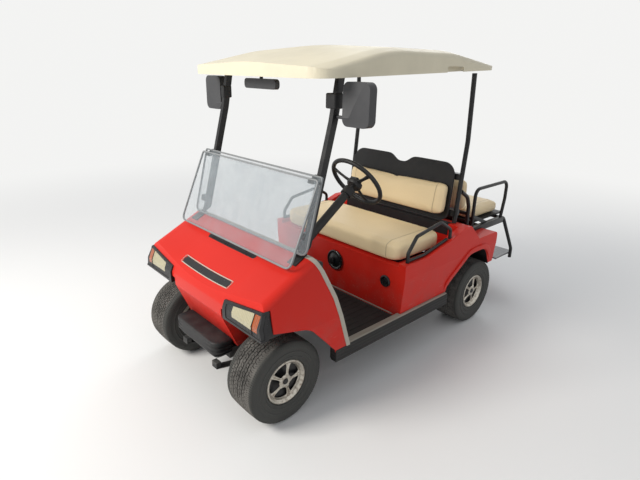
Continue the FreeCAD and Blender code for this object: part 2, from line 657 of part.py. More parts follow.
def make_springs(label, middle, seat, eye_height, rail_low):
    """A pair of leaf springs under an axle, hung from the rails by a hanger at each end."""
    spring = leaf(middle, seat, eye_height)
    hangers = [box("rail_place - leaf_wide/2", f"{middle} {side} - eye_radius", eye_height,
                   "leaf_wide", "2*eye_radius", f"{rail_low} - ({eye_height})")
               for side in ("+ leaf_half - eye_radius", "- leaf_half + eye_radius")]
    node(pair(fuse(spring, *hangers)), label)


def make_rear_axle():
    """The live axle: tube, gear housing, brake drums and shaft ends, with the motor on its side."""
    reach = "rear_track/2 - hub_inner - drum_gap"
    tube_bar = rod("axle_radius", f"2*({reach} - drum_width)", f"-({reach} - drum_width)",
                   "wheelbase/2", "tyre_radius", X_AXIS)
    shaft = rod("spindle_radius", "rear_track + 2*spindle_tip", "-rear_track/2 - spindle_tip",
                "wheelbase/2", "tyre_radius", X_AXIS)
    housing = rod("housing_radius", "housing_width", "-housing_place - housing_width/2",
                  "wheelbase/2", "tyre_radius", X_AXIS)
    drum = rod("drum_radius", "drum_width", f"{reach} - drum_width", "wheelbase/2", "tyre_radius",
               X_AXIS)
    node(fuse(tube_bar, shaft, housing, drum, mirror(drum)), "rear_axle")
    motor = rod("motor_radius", "motor_length", "-housing_place + housing_width/2",
                "wheelbase/2", "tyre_radius", X_AXIS)
    node(cut(motor, tube_bar), "drive_motor")


def make_frame():
    """Two box rails that rise over the rear axle, with members between and arms to the rockers."""
    front = BUMPER_REAR
    rail = prism("YZ_Plane", "rail_place - rail_wide/2", "rail_place + rail_wide/2", [
        (front, "rail_low"), ("kick_start", "rail_low"),
        ("kick_end", "rail_low + rail_lift"), ("rail_rear", "rail_low + rail_lift"),
        ("rail_rear", "rail_top + rail_lift"), ("kick_end", "rail_top + rail_lift"),
        ("kick_start", "rail_top"), (front, "rail_top")])
    inner = "rail_place - rail_wide/2"
    rows = ((front, "0"), ("toe_start", "0"), ("pod_front", "0"),
            ("kick_start - member_wide", "0"), ("rail_rear - member_wide", "rail_lift"))
    members = [box(f"-({inner})", row, f"rail_low + {lift}", f"2*({inner})", "member_wide",
                   "rail_top - rail_low") for row, lift in rows]
    arms = [box("rail_place + rail_wide/2", row, "rail_top - outrigger_deep",
                "rocker_in - rail_place - rail_wide/2", "outrigger_wide", "outrigger_deep")
            for row in ("toe_start", "pod_front", "kick_start - outrigger_wide")]
    side = fuse(rail, *arms)
    node(fuse(side, mirror(side), *members), "frame")


def make_floor():
    """The floor and the sloping toe board in one folded sheet, with a ribbed mat on it."""
    node(prism("YZ_Plane", "-rocker_in", "rocker_in", [
        ("pod_front - soft_gap", "rail_top"), ("toe_start", "rail_top"), ("toe_knee", "toe_height"),
        ("toe_knee", "dash_low"), ("toe_knee + floor_thick", "dash_low"),
        ("toe_knee + floor_thick", "toe_height"), ("toe_start + floor_thick", "rail_top + floor_thick"),
        ("pod_front - soft_gap", "rail_top + floor_thick")]), "floor_pan")
    top = "rail_top + floor_thick + mat_thick"
    mat = prism("XY_Plane", "rail_top + floor_thick", top, [
        ("-rocker_in + mat_margin", "toe_start + floor_thick + mat_margin"),
        ("rocker_in - mat_margin", "toe_start + floor_thick + mat_margin"),
        ("rocker_in - mat_margin", "pod_front - mat_margin"),
        ("-rocker_in + mat_margin", "pod_front - mat_margin")])
    rib = slab(mat, "Pad", "XY_Plane", top, f"{top} + mat_rib", [
        ("-mat_rib_pitch*(mat_ribs - 1)/2 - mat_rib_wide/2", "toe_start + 3*mat_margin"),
        ("-mat_rib_pitch*(mat_ribs - 1)/2 + mat_rib_wide/2", "toe_start + 3*mat_margin"),
        ("-mat_rib_pitch*(mat_ribs - 1)/2 + mat_rib_wide/2", "pod_front - 2*mat_margin"),
        ("-mat_rib_pitch*(mat_ribs - 1)/2 - mat_rib_wide/2", "pod_front - 2*mat_margin")])
    DOC.recompute()
    row = mat.newObject("PartDesign::LinearPattern", "ribs")
    row.Originals = [rib]
    row.Direction = (origin_plane(mat, "X_Axis"), [""])
    bind(row, Length="mat_rib_pitch*(mat_ribs - 1)", Occurrences="mat_ribs")
    mat.Tip = row
    node(mat, "floor_mat")


def make_pedals():
    """Two pedals on short arms that stand off the toe board before the driver."""
    def board_row(height):
        rise = "(toe_height - rail_top - floor_thick)"
        return (f"toe_start + floor_thick + (toe_knee - toe_start)"
                f"*({height} - rail_top - floor_thick)/{rise}")
    middle = "(pedal_low + pedal_high)/2"
    pedals = []
    for place in ("pedal_brake", "pedal_drive"):
        plate = prism("YZ_Plane", f"{place} - pedal_half", f"{place} + pedal_half", [
            (f"{board_row('pedal_low')} + pedal_stand", "pedal_low"),
            (f"{board_row('pedal_high')} + pedal_stand", "pedal_high"),
            (f"{board_row('pedal_high')} + pedal_stand + pedal_thick", "pedal_high"),
            (f"{board_row('pedal_low')} + pedal_stand + pedal_thick", "pedal_low")])
        arm_ends = (f"{middle} - pedal_arm", f"{middle} + pedal_arm")
        stand = [(board_row(f"({height})"), height) for height in arm_ends]
        reach = [(f"{row} + pedal_stand", height) for row, height in reversed(stand)]
        arm = prism("YZ_Plane", f"{place} - pedal_arm", f"{place} + pedal_arm", stand + reach)
        pedals.append(fuse(plate, arm))
    node(group(*pedals), "pedals")


def rocker():
    """The sill along the left side, with its edges cut back."""
    return prism("XZ_Plane", "rocker_front", "rocker_rear", [
        ("rocker_in", "rocker_low + rocker_step"), ("rocker_in + rocker_step", "rocker_low"),
        ("rocker_out", "rocker_low"), ("rocker_out", "rocker_top - rocker_step"),
        ("rocker_out - rocker_step", "rocker_top"), ("rocker_in", "rocker_top")])


def make_rockers():
    """The sills along both sides."""
    node(pair(rocker()), "rockers")


def hood_section(row, inset):
    """The cowl's section at a row: crowned at the back and hollow between the wheels ahead."""
    ahead = f"(hood_rear - ({row}))/(hood_rear - hood_front)"
    edge = f"hood_height - {inset} - hood_fall*{ahead}"
    half = [("0", f"{edge} + hood_crown - (hood_crown + hood_valley)*{ahead}", "3*cowl_half"),
            (f"cowl_top_half - {inset}", edge, "cowl_round"),
            (f"cowl_half - {inset}", "arch_bend_height"), (f"cowl_half - {inset}", "-chin_low")]
    return half + [(f"-({corner[0]})", *corner[1:]) for corner in reversed(half[1:])]


def hood_block(inset):
    """The cowl's outer or inner form, lofted from a section before the nose to one behind the heel."""
    made = new_body()
    rows = ("nose - nose_round", "heel + 3*trim_wide")
    ends = [sketch(made, "XZ_Plane", [hood_section(row, inset)], row) for row in rows]
    loft = made.newObject("PartDesign::AdditiveLoft", "loft")
    loft.Profile = ends[0]
    loft.Sections = [(ends[1], [""])]
    loft.Ruled = True
    return made


def cowl_side(wall):
    """The cowl seen from the side, as a block; a wall above 0 gives the space inside it."""
    back = under = "0" if wall == "0" else "cowl_half/3"
    lift = f"{back}*hood_fall/(hood_rear - hood_front)"
    return prism("YZ_Plane", "-cowl_half - cowl_wall", "cowl_half + cowl_wall", [
        (f"heel + {back}", f"heel_height - {under}"), (f"knee + {back}", "knee_height"),
        (f"brow + {back}", "brow_height"),
        (f"hood_rear + {back}", f"hood_height + 2*hood_crown + {lift}"),
        (f"hood_front + {wall}/2", "hood_front_height + 2*hood_crown"),
        (f"nose + {wall}", f"nose_top - {wall}/2", "nose_round"),
        (f"nose + {wall}", f"nose_low - {wall}/2", "nose_round/2"),
        (f"chin + {wall}", f"chin_low + {wall}/2"),
        (f"chin + {wall} + soft_gap", f"chin_low - {under} - soft_gap"),
        ("chin + 3*nose_round", f"chin_low - {under} - soft_gap")])


LAMP_OUTLINE = [("lamp_in", "lamp_low"), ("lamp_out", "lamp_low + cowl_wall"),
                ("lamp_out", "lamp_top_out"), ("lamp_in", "lamp_top_in")]


def make_cowl():
    """The moulded front: hollow, with wheel openings, walls inside them and room for the lamps."""
    outer = common(hood_block("0"), cowl_side("0"))
    inner = common(hood_block("cowl_wall"), cowl_side("cowl_wall"))
    well = prism("YZ_Plane", "chin_half", "cowl_half + 2*cowl_wall", [
        ("arch_front", "arch_front_height"), ("arch_bend", "arch_bend_height", "arch_round"),
        ("arch_foot", "arch_foot_height"), ("arch_foot", "well_low"), ("arch_front", "well_low")])
    lamp = prism("XZ_Plane", "arch_front", "lamp_back", LAMP_OUTLINE)
    shell = cut(cut(cut(cut(cut(outer, inner), well), mirror(well)), lamp), mirror(lamp))
    wall = prism("YZ_Plane", "chin_half - cowl_wall", "chin_half", [
        ("nose + cowl_wall", "nose_low"), ("nose + cowl_wall", "arch_front_height"),
        ("chin + 3*nose_round", "arch_front_height"), ("chin + 3*nose_round", "chin_low"),
        ("chin + cowl_wall", "chin_low + cowl_wall")])
    sill = rocker()
    node(cut(fuse(shell, wall, mirror(wall)), fuse(sill, mirror(sill))), "front_cowl")


def make_trim():
    """The pale strip that runs up one side of the cowl's rear edge, across and down the other."""
    over = "hood_height + 2*hood_crown"
    band = prism("YZ_Plane", "-cowl_half - cowl_wall", "cowl_half + cowl_wall", [
        ("heel", "heel_height"), ("knee", "knee_height"), ("brow", "brow_height"),
        ("hood_rear", over), ("hood_rear + trim_wide", over),
        ("brow + trim_wide", "brow_height"), ("knee + trim_wide", "knee_height"),
        ("heel + trim_wide", "heel_height")])
    sill = rocker()
    inside = fuse(hood_block("cowl_wall"), sill, mirror(sill))
    node(cut(common(band, hood_block("(-trim_proud)")), inside), "cowl_trim")


def make_dash():
    """The dash across the car, with two cup wells in its top and two open bins in its face."""
    made = prism("YZ_Plane", "-dash_half", "dash_half", [
        ("hood_rear", "dash_low"), ("dash_front", "dash_low"),
        ("dash_front", "dash_height", "dash_round"), ("hood_rear", "dash_height")])
    slab(made, "Pocket", "XY_Plane", "dash_height - cup_depth", "dash_height + dash_round",
         ("cup_place", "cup_row", "cup_radius"), ("-cup_place", "cup_row", "cup_radius"))
    bins = [[(f"{side}*bin_place - bin_half", "bin_low"), (f"{side}*bin_place + bin_half", "bin_low"),
             (f"{side}*bin_place + bin_half", "bin_top"), (f"{side}*bin_place - bin_half", "bin_top")]
            for side in (-1, 1)]
    slab(made, "Pocket", "XZ_Plane", "dash_front - bin_deep", "dash_front + dash_round", *bins)
    node(made, "dash")


def nose_band(front, back):
    """The space between two depths behind the nose's sloping face, as high as the lamps."""
    low = "lamp_low - cowl_wall"
    top = "hood_front_height + 2*hood_crown"
    return prism("YZ_Plane", "-lamp_out", "lamp_out", [
        (f"nose + {front}", low), (f"nose + {front}", "nose_top"), (f"hood_front + {front}", top),
        (f"hood_front + {back}", top), (f"nose + {back}", "nose_top"), (f"nose + {back}", low)])


def make_lamps():
    """Black lamp frames round the front corners, each with a clear and an amber lens set in."""
    clear = [("lens_in", "lens_low"), ("lens_split", "lens_low"),
             ("lens_split", "lens_top_out - signal_drop"), ("lens_in", "lens_top_in")]
    amber = [("lens_split + lens_gap", "lens_low"), ("lamp_out", "lens_low"),
             ("lamp_out", "lens_top_out"), ("lens_split + lens_gap", "lens_top_out - signal_drop")]
    fronts = [prism("XZ_Plane", "arch_front", "hood_front", shape) for shape in (clear, amber)]
    back = "lens_deep - lamp_proud"
    bezel = common(prism("XZ_Plane", "arch_front", "hood_front", LAMP_OUTLINE),
                   nose_band("(-lamp_proud)", "lamp_deep/2"), hood_block("(-trim_proud)"))
    pocket = common(fuse(*fronts), nose_band("(-3*lamp_proud)", back))
    node(pair(cut(bezel, pocket)), "lamp_bezels")
    glass = nose_band("lens_sunk - lamp_proud", back)
    node(pair(common(fronts[0], glass)), "lamp_lenses")
    node(pair(common(fronts[1], glass, hood_block("0"))), "signal_lenses")


def make_bumper():
    """The black bumper in front of the cowl's foot, rounded in plan and tapered below."""
    made = prism("XY_Plane", "bumper_low", "bumper_top", [
        ("-bumper_half", BUMPER_REAR), ("-bumper_half", "bumper_front", "bumper_round"),
        ("bumper_half", "bumper_front", "bumper_round"), ("bumper_half", BUMPER_REAR)])
    slab(made, "Pocket", "YZ_Plane", "-bumper_half", "bumper_half", [
        ("bumper_front", "bumper_low"), (BUMPER_REAR + " - bumper_taper", "bumper_low"),
        ("bumper_front", "bumper_low + bumper_taper")])
    node(made, "front_bumper")


def make_front_struts():
    """Flat bent struts from the hood's rear edge to the roof, each on a foot plate."""
    strut = prism("YZ_Plane", "strut_place - strut_wide/2", "strut_place + strut_wide/2", [
        ("strut_foot - strut_deep/2", "strut_foot_height"),
        ("strut_foot + strut_deep/2", "strut_foot_height"),
        ("strut_bend + strut_deep/2", "strut_bend_height", "strut_round"),
        ("strut_neck + strut_deep/2", "strut_neck_height", "strut_round"),
        ("strut_head + strut_deep/2", "strut_seat"), ("strut_head - strut_deep/2", "strut_seat"),
        ("strut_neck - strut_deep/2", "strut_neck_height", "strut_round"),
        ("strut_bend - strut_deep/2", "strut_bend_height", "strut_round")])
    feet = []
    for front, rear, under in (("strut_foot - foot_half", "hood_rear", "0"),
                               ("hood_rear", "strut_bend - strut_deep/2", "(-trim_proud)")):
        plate = prism("XY_Plane", "hood_front_height", "hood_height + 3*hood_crown", [
            ("strut_place - foot_half", front), ("strut_place + foot_half", front),
            ("strut_place + foot_half", rear), ("strut_place - foot_half", rear)])
        feet.append(cut(common(plate, hood_block("(-foot_plate)")), hood_block(under)))
    node(pair(fuse(cut(strut, hood_block("(-trim_proud)")), *feet)), "front_struts")


def rear_strut():
    """One bent tube from the body's hip to the roof."""
    return tube("YZ_Plane", "rear_strut_place", "rear_strut_across/2",
                ("rear_strut_foot", "hip_height"),
                ("rear_strut_bend", "rear_strut_bend_height", "rear_strut_round"),
                ("rear_strut_head", "strut_seat"))


def make_rear_struts():
    """Both rear struts, standing on the hips."""
    node(pair(cut(rear_strut(), body_side("0"))), "rear_struts")


def roof_block(inset):
    """The roof's outer or inner form: a crowned section carried along the crown line."""
    spine_points = [
        ("roof_front - roof_wall", f"roof_edge_front - {inset}"),
        ("crown_front", f"roof_crown - {inset}", "roof_bend"),
        ("crown_rear", f"roof_crown - {inset}", "roof_bend"),
        ("roof_rear + roof_wall", f"roof_edge_rear - {inset}")]
    made = new_body()
    spine = sketch(made, "YZ_Plane", [spine_points], closed=False)
    start = f"roof_edge_front - {inset}"
    half = [("0", start, "2*roof_bend"), ("roof_shoulder", f"{start} - roof_drop", "3*roof_round"),
            (f"roof_half - {inset}", f"{start} - roof_side_drop", "roof_round"),
            (f"roof_half - {inset}", "strut_seat - 3*roof_corner")]
    other_half = [(f"-({corner[0]})", *corner[1:]) for corner in reversed(half[1:])]
    drawn = sketch(made, "XZ_Plane", [half + other_half], "roof_front - roof_wall")
    pipe = made.newObject("PartDesign::AdditivePipe", "pipe")
    pipe.Profile = drawn
    pipe.Spine = spine
    pipe.Mode = "Fixed"
    lower = prism("YZ_Plane", "-roof_half", "roof_half", [
        ("roof_front - roof_wall", "roof_low_front"),
        ("roof_rear + roof_wall", "roof_low_rear"), ("roof_rear + roof_wall", "roof_crown + roof_wall"),
        ("roof_front - roof_wall", "roof_crown + roof_wall")])
    plan = prism("XY_Plane", "strut_seat - roof_corner", "roof_crown + roof_wall", [
        (f"roof_half - {inset}", f"roof_rear - {inset}", "roof_corner"),
        (f"-(roof_half - {inset})", f"roof_rear - {inset}", "roof_corner"),
        (f"-(roof_half - {inset})", f"roof_front + {inset}", "roof_corner"),
        (f"roof_half - {inset}", f"roof_front + {inset}", "roof_corner")])
    return common(made, lower, plan)


def make_roof():
    """The moulded roof: a thin crowned cap, ribs that seat the struts and a hand-hold on each side."""
    inner = roof_block("roof_wall")
    shell = cut(roof_block("0"), inner)
    rib = box("strut_place - seat_rib_half", "strut_neck - seat_rib_half", "strut_seat",
              "2*seat_rib_half", "rear_strut_bend - strut_neck + 2*seat_rib_half",
              "roof_crown - strut_seat")
    boss = box("-seat_rib_half", "centre_mirror_row - seat_rib_half/2", "strut_seat",
               "2*seat_rib_half", "seat_rib_half", "roof_crown - strut_seat")
    ribs = common(fuse(rib, mirror(rib), boss), inner)
    hold = prism("YZ_Plane", "roof_half - 2*roof_wall", "roof_half + roof_wall", [
        ("hold_front", "roof_low_front"), ("hold_front", "strut_seat + hold_lift", "hold_round"),
        ("hold_rear", "strut_seat + hold_lift", "hold_round"), ("hold_rear", "roof_low_front")])
    node(cut(fuse(shell, ribs), fuse(hold, mirror(hold))), "roof")


def pane(length):
    """A flat pane standing on the middle of its lower edge, with round lower corners."""
    return prism("XZ_Plane", "-pane_thick", "0", [
        ("-pane_half", "0", "pane_round"), ("pane_half", "0", "pane_round"),
        ("pane_half", length), ("-pane_half", length)])


def make_windshield():
    """The fixed lower pane before the struts, the upper pane folded down, and their clips."""
    run = "(strut_neck - strut_bend)"
    rise = "(strut_neck_height - strut_bend_height)"
    face = f"strut_bend - strut_deep/2 - pane_gap + {run}/{rise}*"
    lower_foot = f"{face}(lower_pane_foot - strut_bend_height)"
    lower_lean = f"atan({run}/{rise})"
    lower = pane(f"(lower_pane_head - lower_pane_foot)/cos({lower_lean})")
    node(lower, "windshield_lower", "0", lower_foot, "lower_pane_foot", (-X_AXIS, lower_lean))
    fold_run = "(fold_head - fold_foot)"
    fold_rise = "(fold_head_height - fold_foot_height)"
    fold_lean = f"atan({fold_run}/{fold_rise})"
    upper = pane(f"sqrt({fold_run}^2 + {fold_rise}^2)")
    node(upper, "windshield_upper", "0", "fold_foot", "fold_foot_height", (-X_AXIS, fold_lean))

    def row_of(height):
        return f"{face}({height} - strut_bend_height)"

    def strut_row_of(height):
        return f"{row_of(height)} + pane_gap"
    clips = []
    for low in ("lower_pane_foot + 2*clip_high", "lower_pane_head - clip_high"):
        high = f"{low} + clip_high"
        clips.append(prism("YZ_Plane", "strut_place - clip_half", "strut_place + clip_half", [
            (row_of(low), low), (strut_row_of(low), low),
            (strut_row_of(high), high), (row_of(high), high)]))
    top = "lower_pane_head - clip_high"
    thick = f"pane_thick/cos({lower_lean})"
    hinge = prism("YZ_Plane", "strut_place - clip_half", "strut_place + clip_half", [
        (f"fold_head - {fold_run}/{fold_rise}*(fold_head_height - ({top}))", top),
        (f"{row_of(top)} - {thick}", top),
        (f"{row_of('fold_head_height')} - {thick}", "fold_head_height"),
        ("fold_head", "fold_head_height")])
    node(pair(group(*clips, hinge)), "windshield_clips")


def mirror_block(low_x, high_x, low_z, high_z, row, deep, radius):
    """A round-cornered mirror housing with a shallow seat for its glass on the rear face."""
    made = prism("XZ_Plane", f"{row} - {deep}/2", f"{row} + {deep}/2", [
        (low_x, low_z, radius), (high_x, low_z, radius),
        (high_x, high_z, radius), (low_x, high_z, radius)])
    glass = [(f"{low_x} + glass_margin", f"{low_z} + glass_margin", f"{radius} - glass_margin"),
             (f"{high_x} - glass_margin", f"{low_z} + glass_margin", f"{radius} - glass_margin"),
             (f"{high_x} - glass_margin", f"{high_z} - glass_margin", f"{radius} - glass_margin"),
             (f"{low_x} + glass_margin", f"{high_z} - glass_margin", f"{radius} - glass_margin")]
    seat = f"{row} + {deep}/2 - glass_deep"
    slab(made, "Pocket", "XZ_Plane", seat, f"{row} + {deep}", glass)
    return made, prism("XZ_Plane", seat, f"{seat} + glass_deep/2", glass)


def make_mirrors():
    """Two side mirrors on short arms and a wide mirror under the roof's front."""
    housing, glass = mirror_block("mirror_place - mirror_half", "mirror_place + mirror_half",
                                  "mirror_low", "mirror_top", "mirror_row", "mirror_deep",
                                  "mirror_round")
    side = "strut_place + strut_wide/2"
    arm = rod("mirror_arm", f"mirror_place - ({side}) - mirror_half/2", side, "mirror_arm_row",
              "mirror_arm_height", X_AXIS)
    node(pair(fuse(housing, arm)), "side_mirrors")
    centre, centre_glass = mirror_block("-centre_mirror_half", "centre_mirror_half",
                                        "centre_mirror_low", "centre_mirror_top",
                                        "centre_mirror_row", "centre_mirror_deep", "centre_round")
    stem = rod("centre_stem", "strut_seat - centre_mirror_top + centre_stem", "0", "centre_mirror_row",
               "centre_mirror_top - centre_stem")
    node(fuse(centre, stem), "centre_mirror")
    node(group(pair(glass), centre_glass), "mirror_glasses")


def make_steering():
    """The tilted column up from the dash, and the wheel with its three spokes on top."""
    lean = "90 - column_tilt"
    place = ("steer_place", "steer_row", "steer_height")
    column = rod("column_radius", "column_length - column_start", "0", "0", "-column_length")
    collar = rod("collar_radius", "collar_deep", "0", "0", "-column_start")
    top = "collar_deep - column_start"
    shaft = rod("steer_shaft", f"-({top})", "0", "0", top)
    whole = fuse(column, collar, shaft)
    tilted = DOC.addObject("Part::Compound", "tilted")
    tilted.Links = [whole]
    tilted.Placement = FreeCAD.Placement(Vector(), FreeCAD.Rotation(-X_AXIS, value(lean)))
    bind(tilted, Placement__Base__x=place[0], Placement__Base__y=place[1], Placement__Base__z=place[2],
         Placement__Rotation__Angle=f"({lean})*1deg")
    room = box("steer_place - steer_radius", "dash_front - steer_height", "dash_low - steer_height",
               "2*steer_radius", "steer_height", "3*steer_height")
    node(cut(tilted, room), "steering_column")
    grip = DOC.addObject("Part::Torus", "grip")
    bind(grip, Radius1="steer_radius", Radius2="grip_radius",
         Placement__Base__z="steer_dish + steer_hub_deep/2")
    hub = rod("steer_hub", "steer_hub_deep", "0", "0", "face_fit")
    spokes = []
    count = round(value("steer_spokes"))
    for step in range(count):
        spoke = DOC.addObject("Part::Box", "spoke")
        bind(spoke, Length="2*steer_spoke", Width="steer_radius", Height="steer_spoke")
        bind(spoke, Placement__Base__x="-steer_spoke",
             Placement__Base__z="steer_hub_deep - steer_spoke")
        turned = DOC.addObject("Part::Compound", "turned")
        turned.Links = [spoke]
        turn = FreeCAD.Rotation(Z_AXIS, 180*(2*step + 1)/count)
        turned.Placement = FreeCAD.Placement(Vector(), turn)
        spokes.append(turned)
    rim_and_hub = fuse(grip, hub, *spokes)
    node(rim_and_hub, "steering_wheel", *place, (-X_AXIS, lean))


def body_side(wall):
    """The rear body from the side; a wall above 0 gives the space inside it, open below."""
    if wall == "0":
        under = "0"
        shoulder = [("pod_lean", "side_top"), ("hip_start", "side_top"),
                    ("hip_rise", "hip_rise_height"), ("hip_peak - deck_round", "hip_height")]
    else:
        under = "rail_top"
        shoulder = [(f"pod_lean + {wall}", f"ledge - {wall}"),
                    (f"recess_rear + {wall}", f"ledge - {wall}"),
                    (f"recess_rear + {wall}", f"hip_height - {wall}")]
    half = f"body_half - {wall}"
    side = prism("YZ_Plane", f"-({half})", half, [
        *([] if wall == "0" else [(f"pod_front + {wall}", f"rail_top - {under}")]),
        (f"pod_front + {wall}", "rail_top"),
        *shoulder,
        ("hip_peak + deck_round/2", f"hip_height - {wall}"),
        ("deck_start", f"deck_height - {wall}", "deck_round/2"),
        (f"tail - {wall}", f"tail_height - {wall}", "deck_round/2"),
        (f"tail - {wall}", f"tail_low - {under}"),
        ("rear_arch_tail", f"tail_low - {under}"),
        ("sill_rear", f"rail_top - {under}")])
    front = prism("XZ_Plane", "-deck_start", "2*deck_start", [
        (f"-body_foot_half + {wall}", f"rail_top - 2*{under}"),
        (f"body_foot_half - {wall}", f"rail_top - 2*{under}"),
        *([] if wall == "0" else [(f"body_foot_half - {wall}", "rail_top")]),
        (half, "body_shoulder"), (half, "hip_height + body_wall"),
        (f"-({half})", "hip_height + body_wall"), (f"-({half})", "body_shoulder"),
        *([] if wall == "0" else [(f"-body_foot_half + {wall}", "rail_top")])])
    return common(side, front)


REAR_BENDS = [("rear_arch_knee", "rear_arch_knee_height"), ("rear_arch_front", "rear_arch_height"),
              ("rear_arch_rear", "rear_arch_height"), ("rear_arch_tail", "rear_arch_tail_height")]


def make_rear_body():
    """The moulded pod and tail: hollow, open over the batteries, arched over the rear wheels."""
    shell = cut(body_side("0"), body_side("body_wall"))
    recess = box("-seat_half - recess_margin", "recess_front", "ledge",
                 "2*seat_half + 2*recess_margin", "recess_rear - recess_front", "hip_height - ledge")
    bay = box("-bay_half", "bay_front", "ledge - 4*body_wall", "2*bay_half", "bay_rear - bay_front",
              "hip_height - ledge")
    knee, front, rear, end = REAR_BENDS
    opening = prism("YZ_Plane", "-body_half - body_wall", "body_half + body_wall", [
        ("rear_arch_foot", "rail_top - body_wall"), knee, (*front, "rear_arch_round"),
        (*rear, "rear_arch_round"), end, ("rear_arch_tail", "rail_top - body_wall")])
    sill = rocker()
    node(cut(cut(cut(shell, recess), bay), fuse(opening, sill, mirror(sill))), "rear_body")


def make_rear_liner():
    """Black liners over the rear wheels: three flat sheets on each, and a wall towards the axle."""
    room = body_side("body_wall")
    sheets = []
    for first, last in zip(REAR_BENDS, REAR_BENDS[1:]):
        sheet = prism("YZ_Plane", "liner_in", "body_half", [
            first, last, (last[0], f"{last[1]} + liner_thick"),
            (first[0], f"{first[1]} + liner_thick")])
        sheets.append(common(sheet, room))
    wall = prism("YZ_Plane", "liner_in - liner_thick", "liner_in", REAR_BENDS)
    node(pair(group(wall, *sheets)), "rear_liner")


def make_pod_fittings():
    """The shift plate with its lever and the charge socket on the pod's front, and the batteries."""
    front = "pod_front + pod_lean"
    plate = rod("shifter_radius", "socket_proud - pod_lean", "shifter_place", f"{front} - socket_proud",
                "shifter_height", Y_AXIS)
    lever = box("shifter_place - socket_proud", f"{front} - socket_proud - shifter_lever",
                "shifter_height", "2*socket_proud", "shifter_lever", "shifter_lever/2")
    skin = body_side("0")
    node(cut(fuse(plate, lever), skin), "shifter")
    socket = rod("socket_radius", "socket_proud - pod_lean", "socket_place", f"{front} - socket_proud",
                 "socket_height", Y_AXIS)
    node(cut(socket, skin), "charge_socket")
    wide = "(2*battery_half - (battery_columns - 1)*battery_gap)/battery_columns"
    deep = "(battery_rear - battery_front - (battery_rows - 1)*battery_gap)/battery_rows"
    cases = []
    for column in range(round(value("battery_columns"))):
        for line in range(round(value("battery_rows"))):
            cases.append(box(f"-battery_half + {column}*({wide} + battery_gap)",
                             f"battery_front + {line}*({deep} + battery_gap)",
                             "battery_low", wide, deep, "battery_top - battery_low"))
    tray = box("-battery_half", "battery_front", "rail_top", "2*battery_half",
               "battery_rear - battery_front", "battery_low - rail_top")
    node(group(tray, *cases), "battery_pack")


def make_front_seat():
    """The front bench: seat, back and the moulded shell behind it, on brackets to the struts."""
    seat = prism("XY_Plane", "ledge + soft_gap", "seat_top", [
        ("-seat_half", "seat_front", "seat_round"), ("seat_half", "seat_front", "seat_round"),
        ("seat_half", "seat_rear"), ("-seat_half", "seat_rear")])
    top = value("seat_top")
    fillet(seat, "seat_round", lambda edge: abs(edge.BoundBox.ZMin - top) < 0.1)
    node(seat, "front_seat")
    slope = "(shell_top_row - shell_low_row)/(shell_top - shell_low)"

    def shell_row(height):
        return f"shell_low_row + {slope}*({height} - shell_low)"
    back = prism("YZ_Plane", "-back_half", "back_half", [
        ("back_front_low", "back_low", "back_round"),
        (f"{shell_row('back_low')} - soft_gap", "back_low"),
        (f"{shell_row('back_top')} - soft_gap", "back_top"),
        ("back_front_top", "back_top", "back_round")])
    node(back, "front_backrest")
    sheet = prism("YZ_Plane", "-shell_half", "shell_half", [
        ("shell_low_row", "shell_low"), ("shell_low_row + shell_thick", "shell_low"),
        ("shell_top_row + shell_thick", "shell_top"), ("shell_top_row", "shell_top")])
    humps = prism("XZ_Plane", "shell_low_row - shell_thick", "shell_top_row + 2*shell_thick", [
        ("-shell_half", "shell_low", "shell_bend/2"), ("shell_half", "shell_low", "shell_bend/2"),
        ("shell_half", "shell_top", "shell_bend"), ("shell_hump", "shell_top", "shell_bend"),
        ("0", "shell_valley"), ("-shell_hump", "shell_top", "shell_bend"),
        ("-shell_half", "shell_top", "shell_bend")])
    node(common(sheet, humps), "backrest_shell")
    strut = rear_strut()
    brackets = []
    for low in ("bracket_low", "bracket_high"):
        high = f"{low} + 2*bracket_half"
        brackets.append(cut(prism("YZ_Plane", "shell_half - 2*bracket_half", "rear_strut_place", [
            (f"{shell_row(low)} + shell_thick", low), ("rear_strut_bend", low),
            ("rear_strut_bend", high), (f"{shell_row(high)} + shell_thick", high)]), strut))
    node(pair(group(*brackets)), "seat_brackets")


def make_hip_restraints():
    """Bent tube side guards on the pod's side walls beside the front seat."""
    guard = tube("YZ_Plane", "hip_place", "hip_across/2", ("hip_foot", "side_top"),
                 ("hip_foot", "hip_foot_height", "hip_bend"),
                 ("hip_knee", "hip_knee_height", "hip_bend"),
                 ("hip_apex", "hip_apex_height", "hip_bend"),
                 ("hip_back", "hip_back_height", "hip_bend"), ("hip_back", "hip_rise_height"))
    node(pair(cut(guard, body_side("0"))), "hip_restraints")


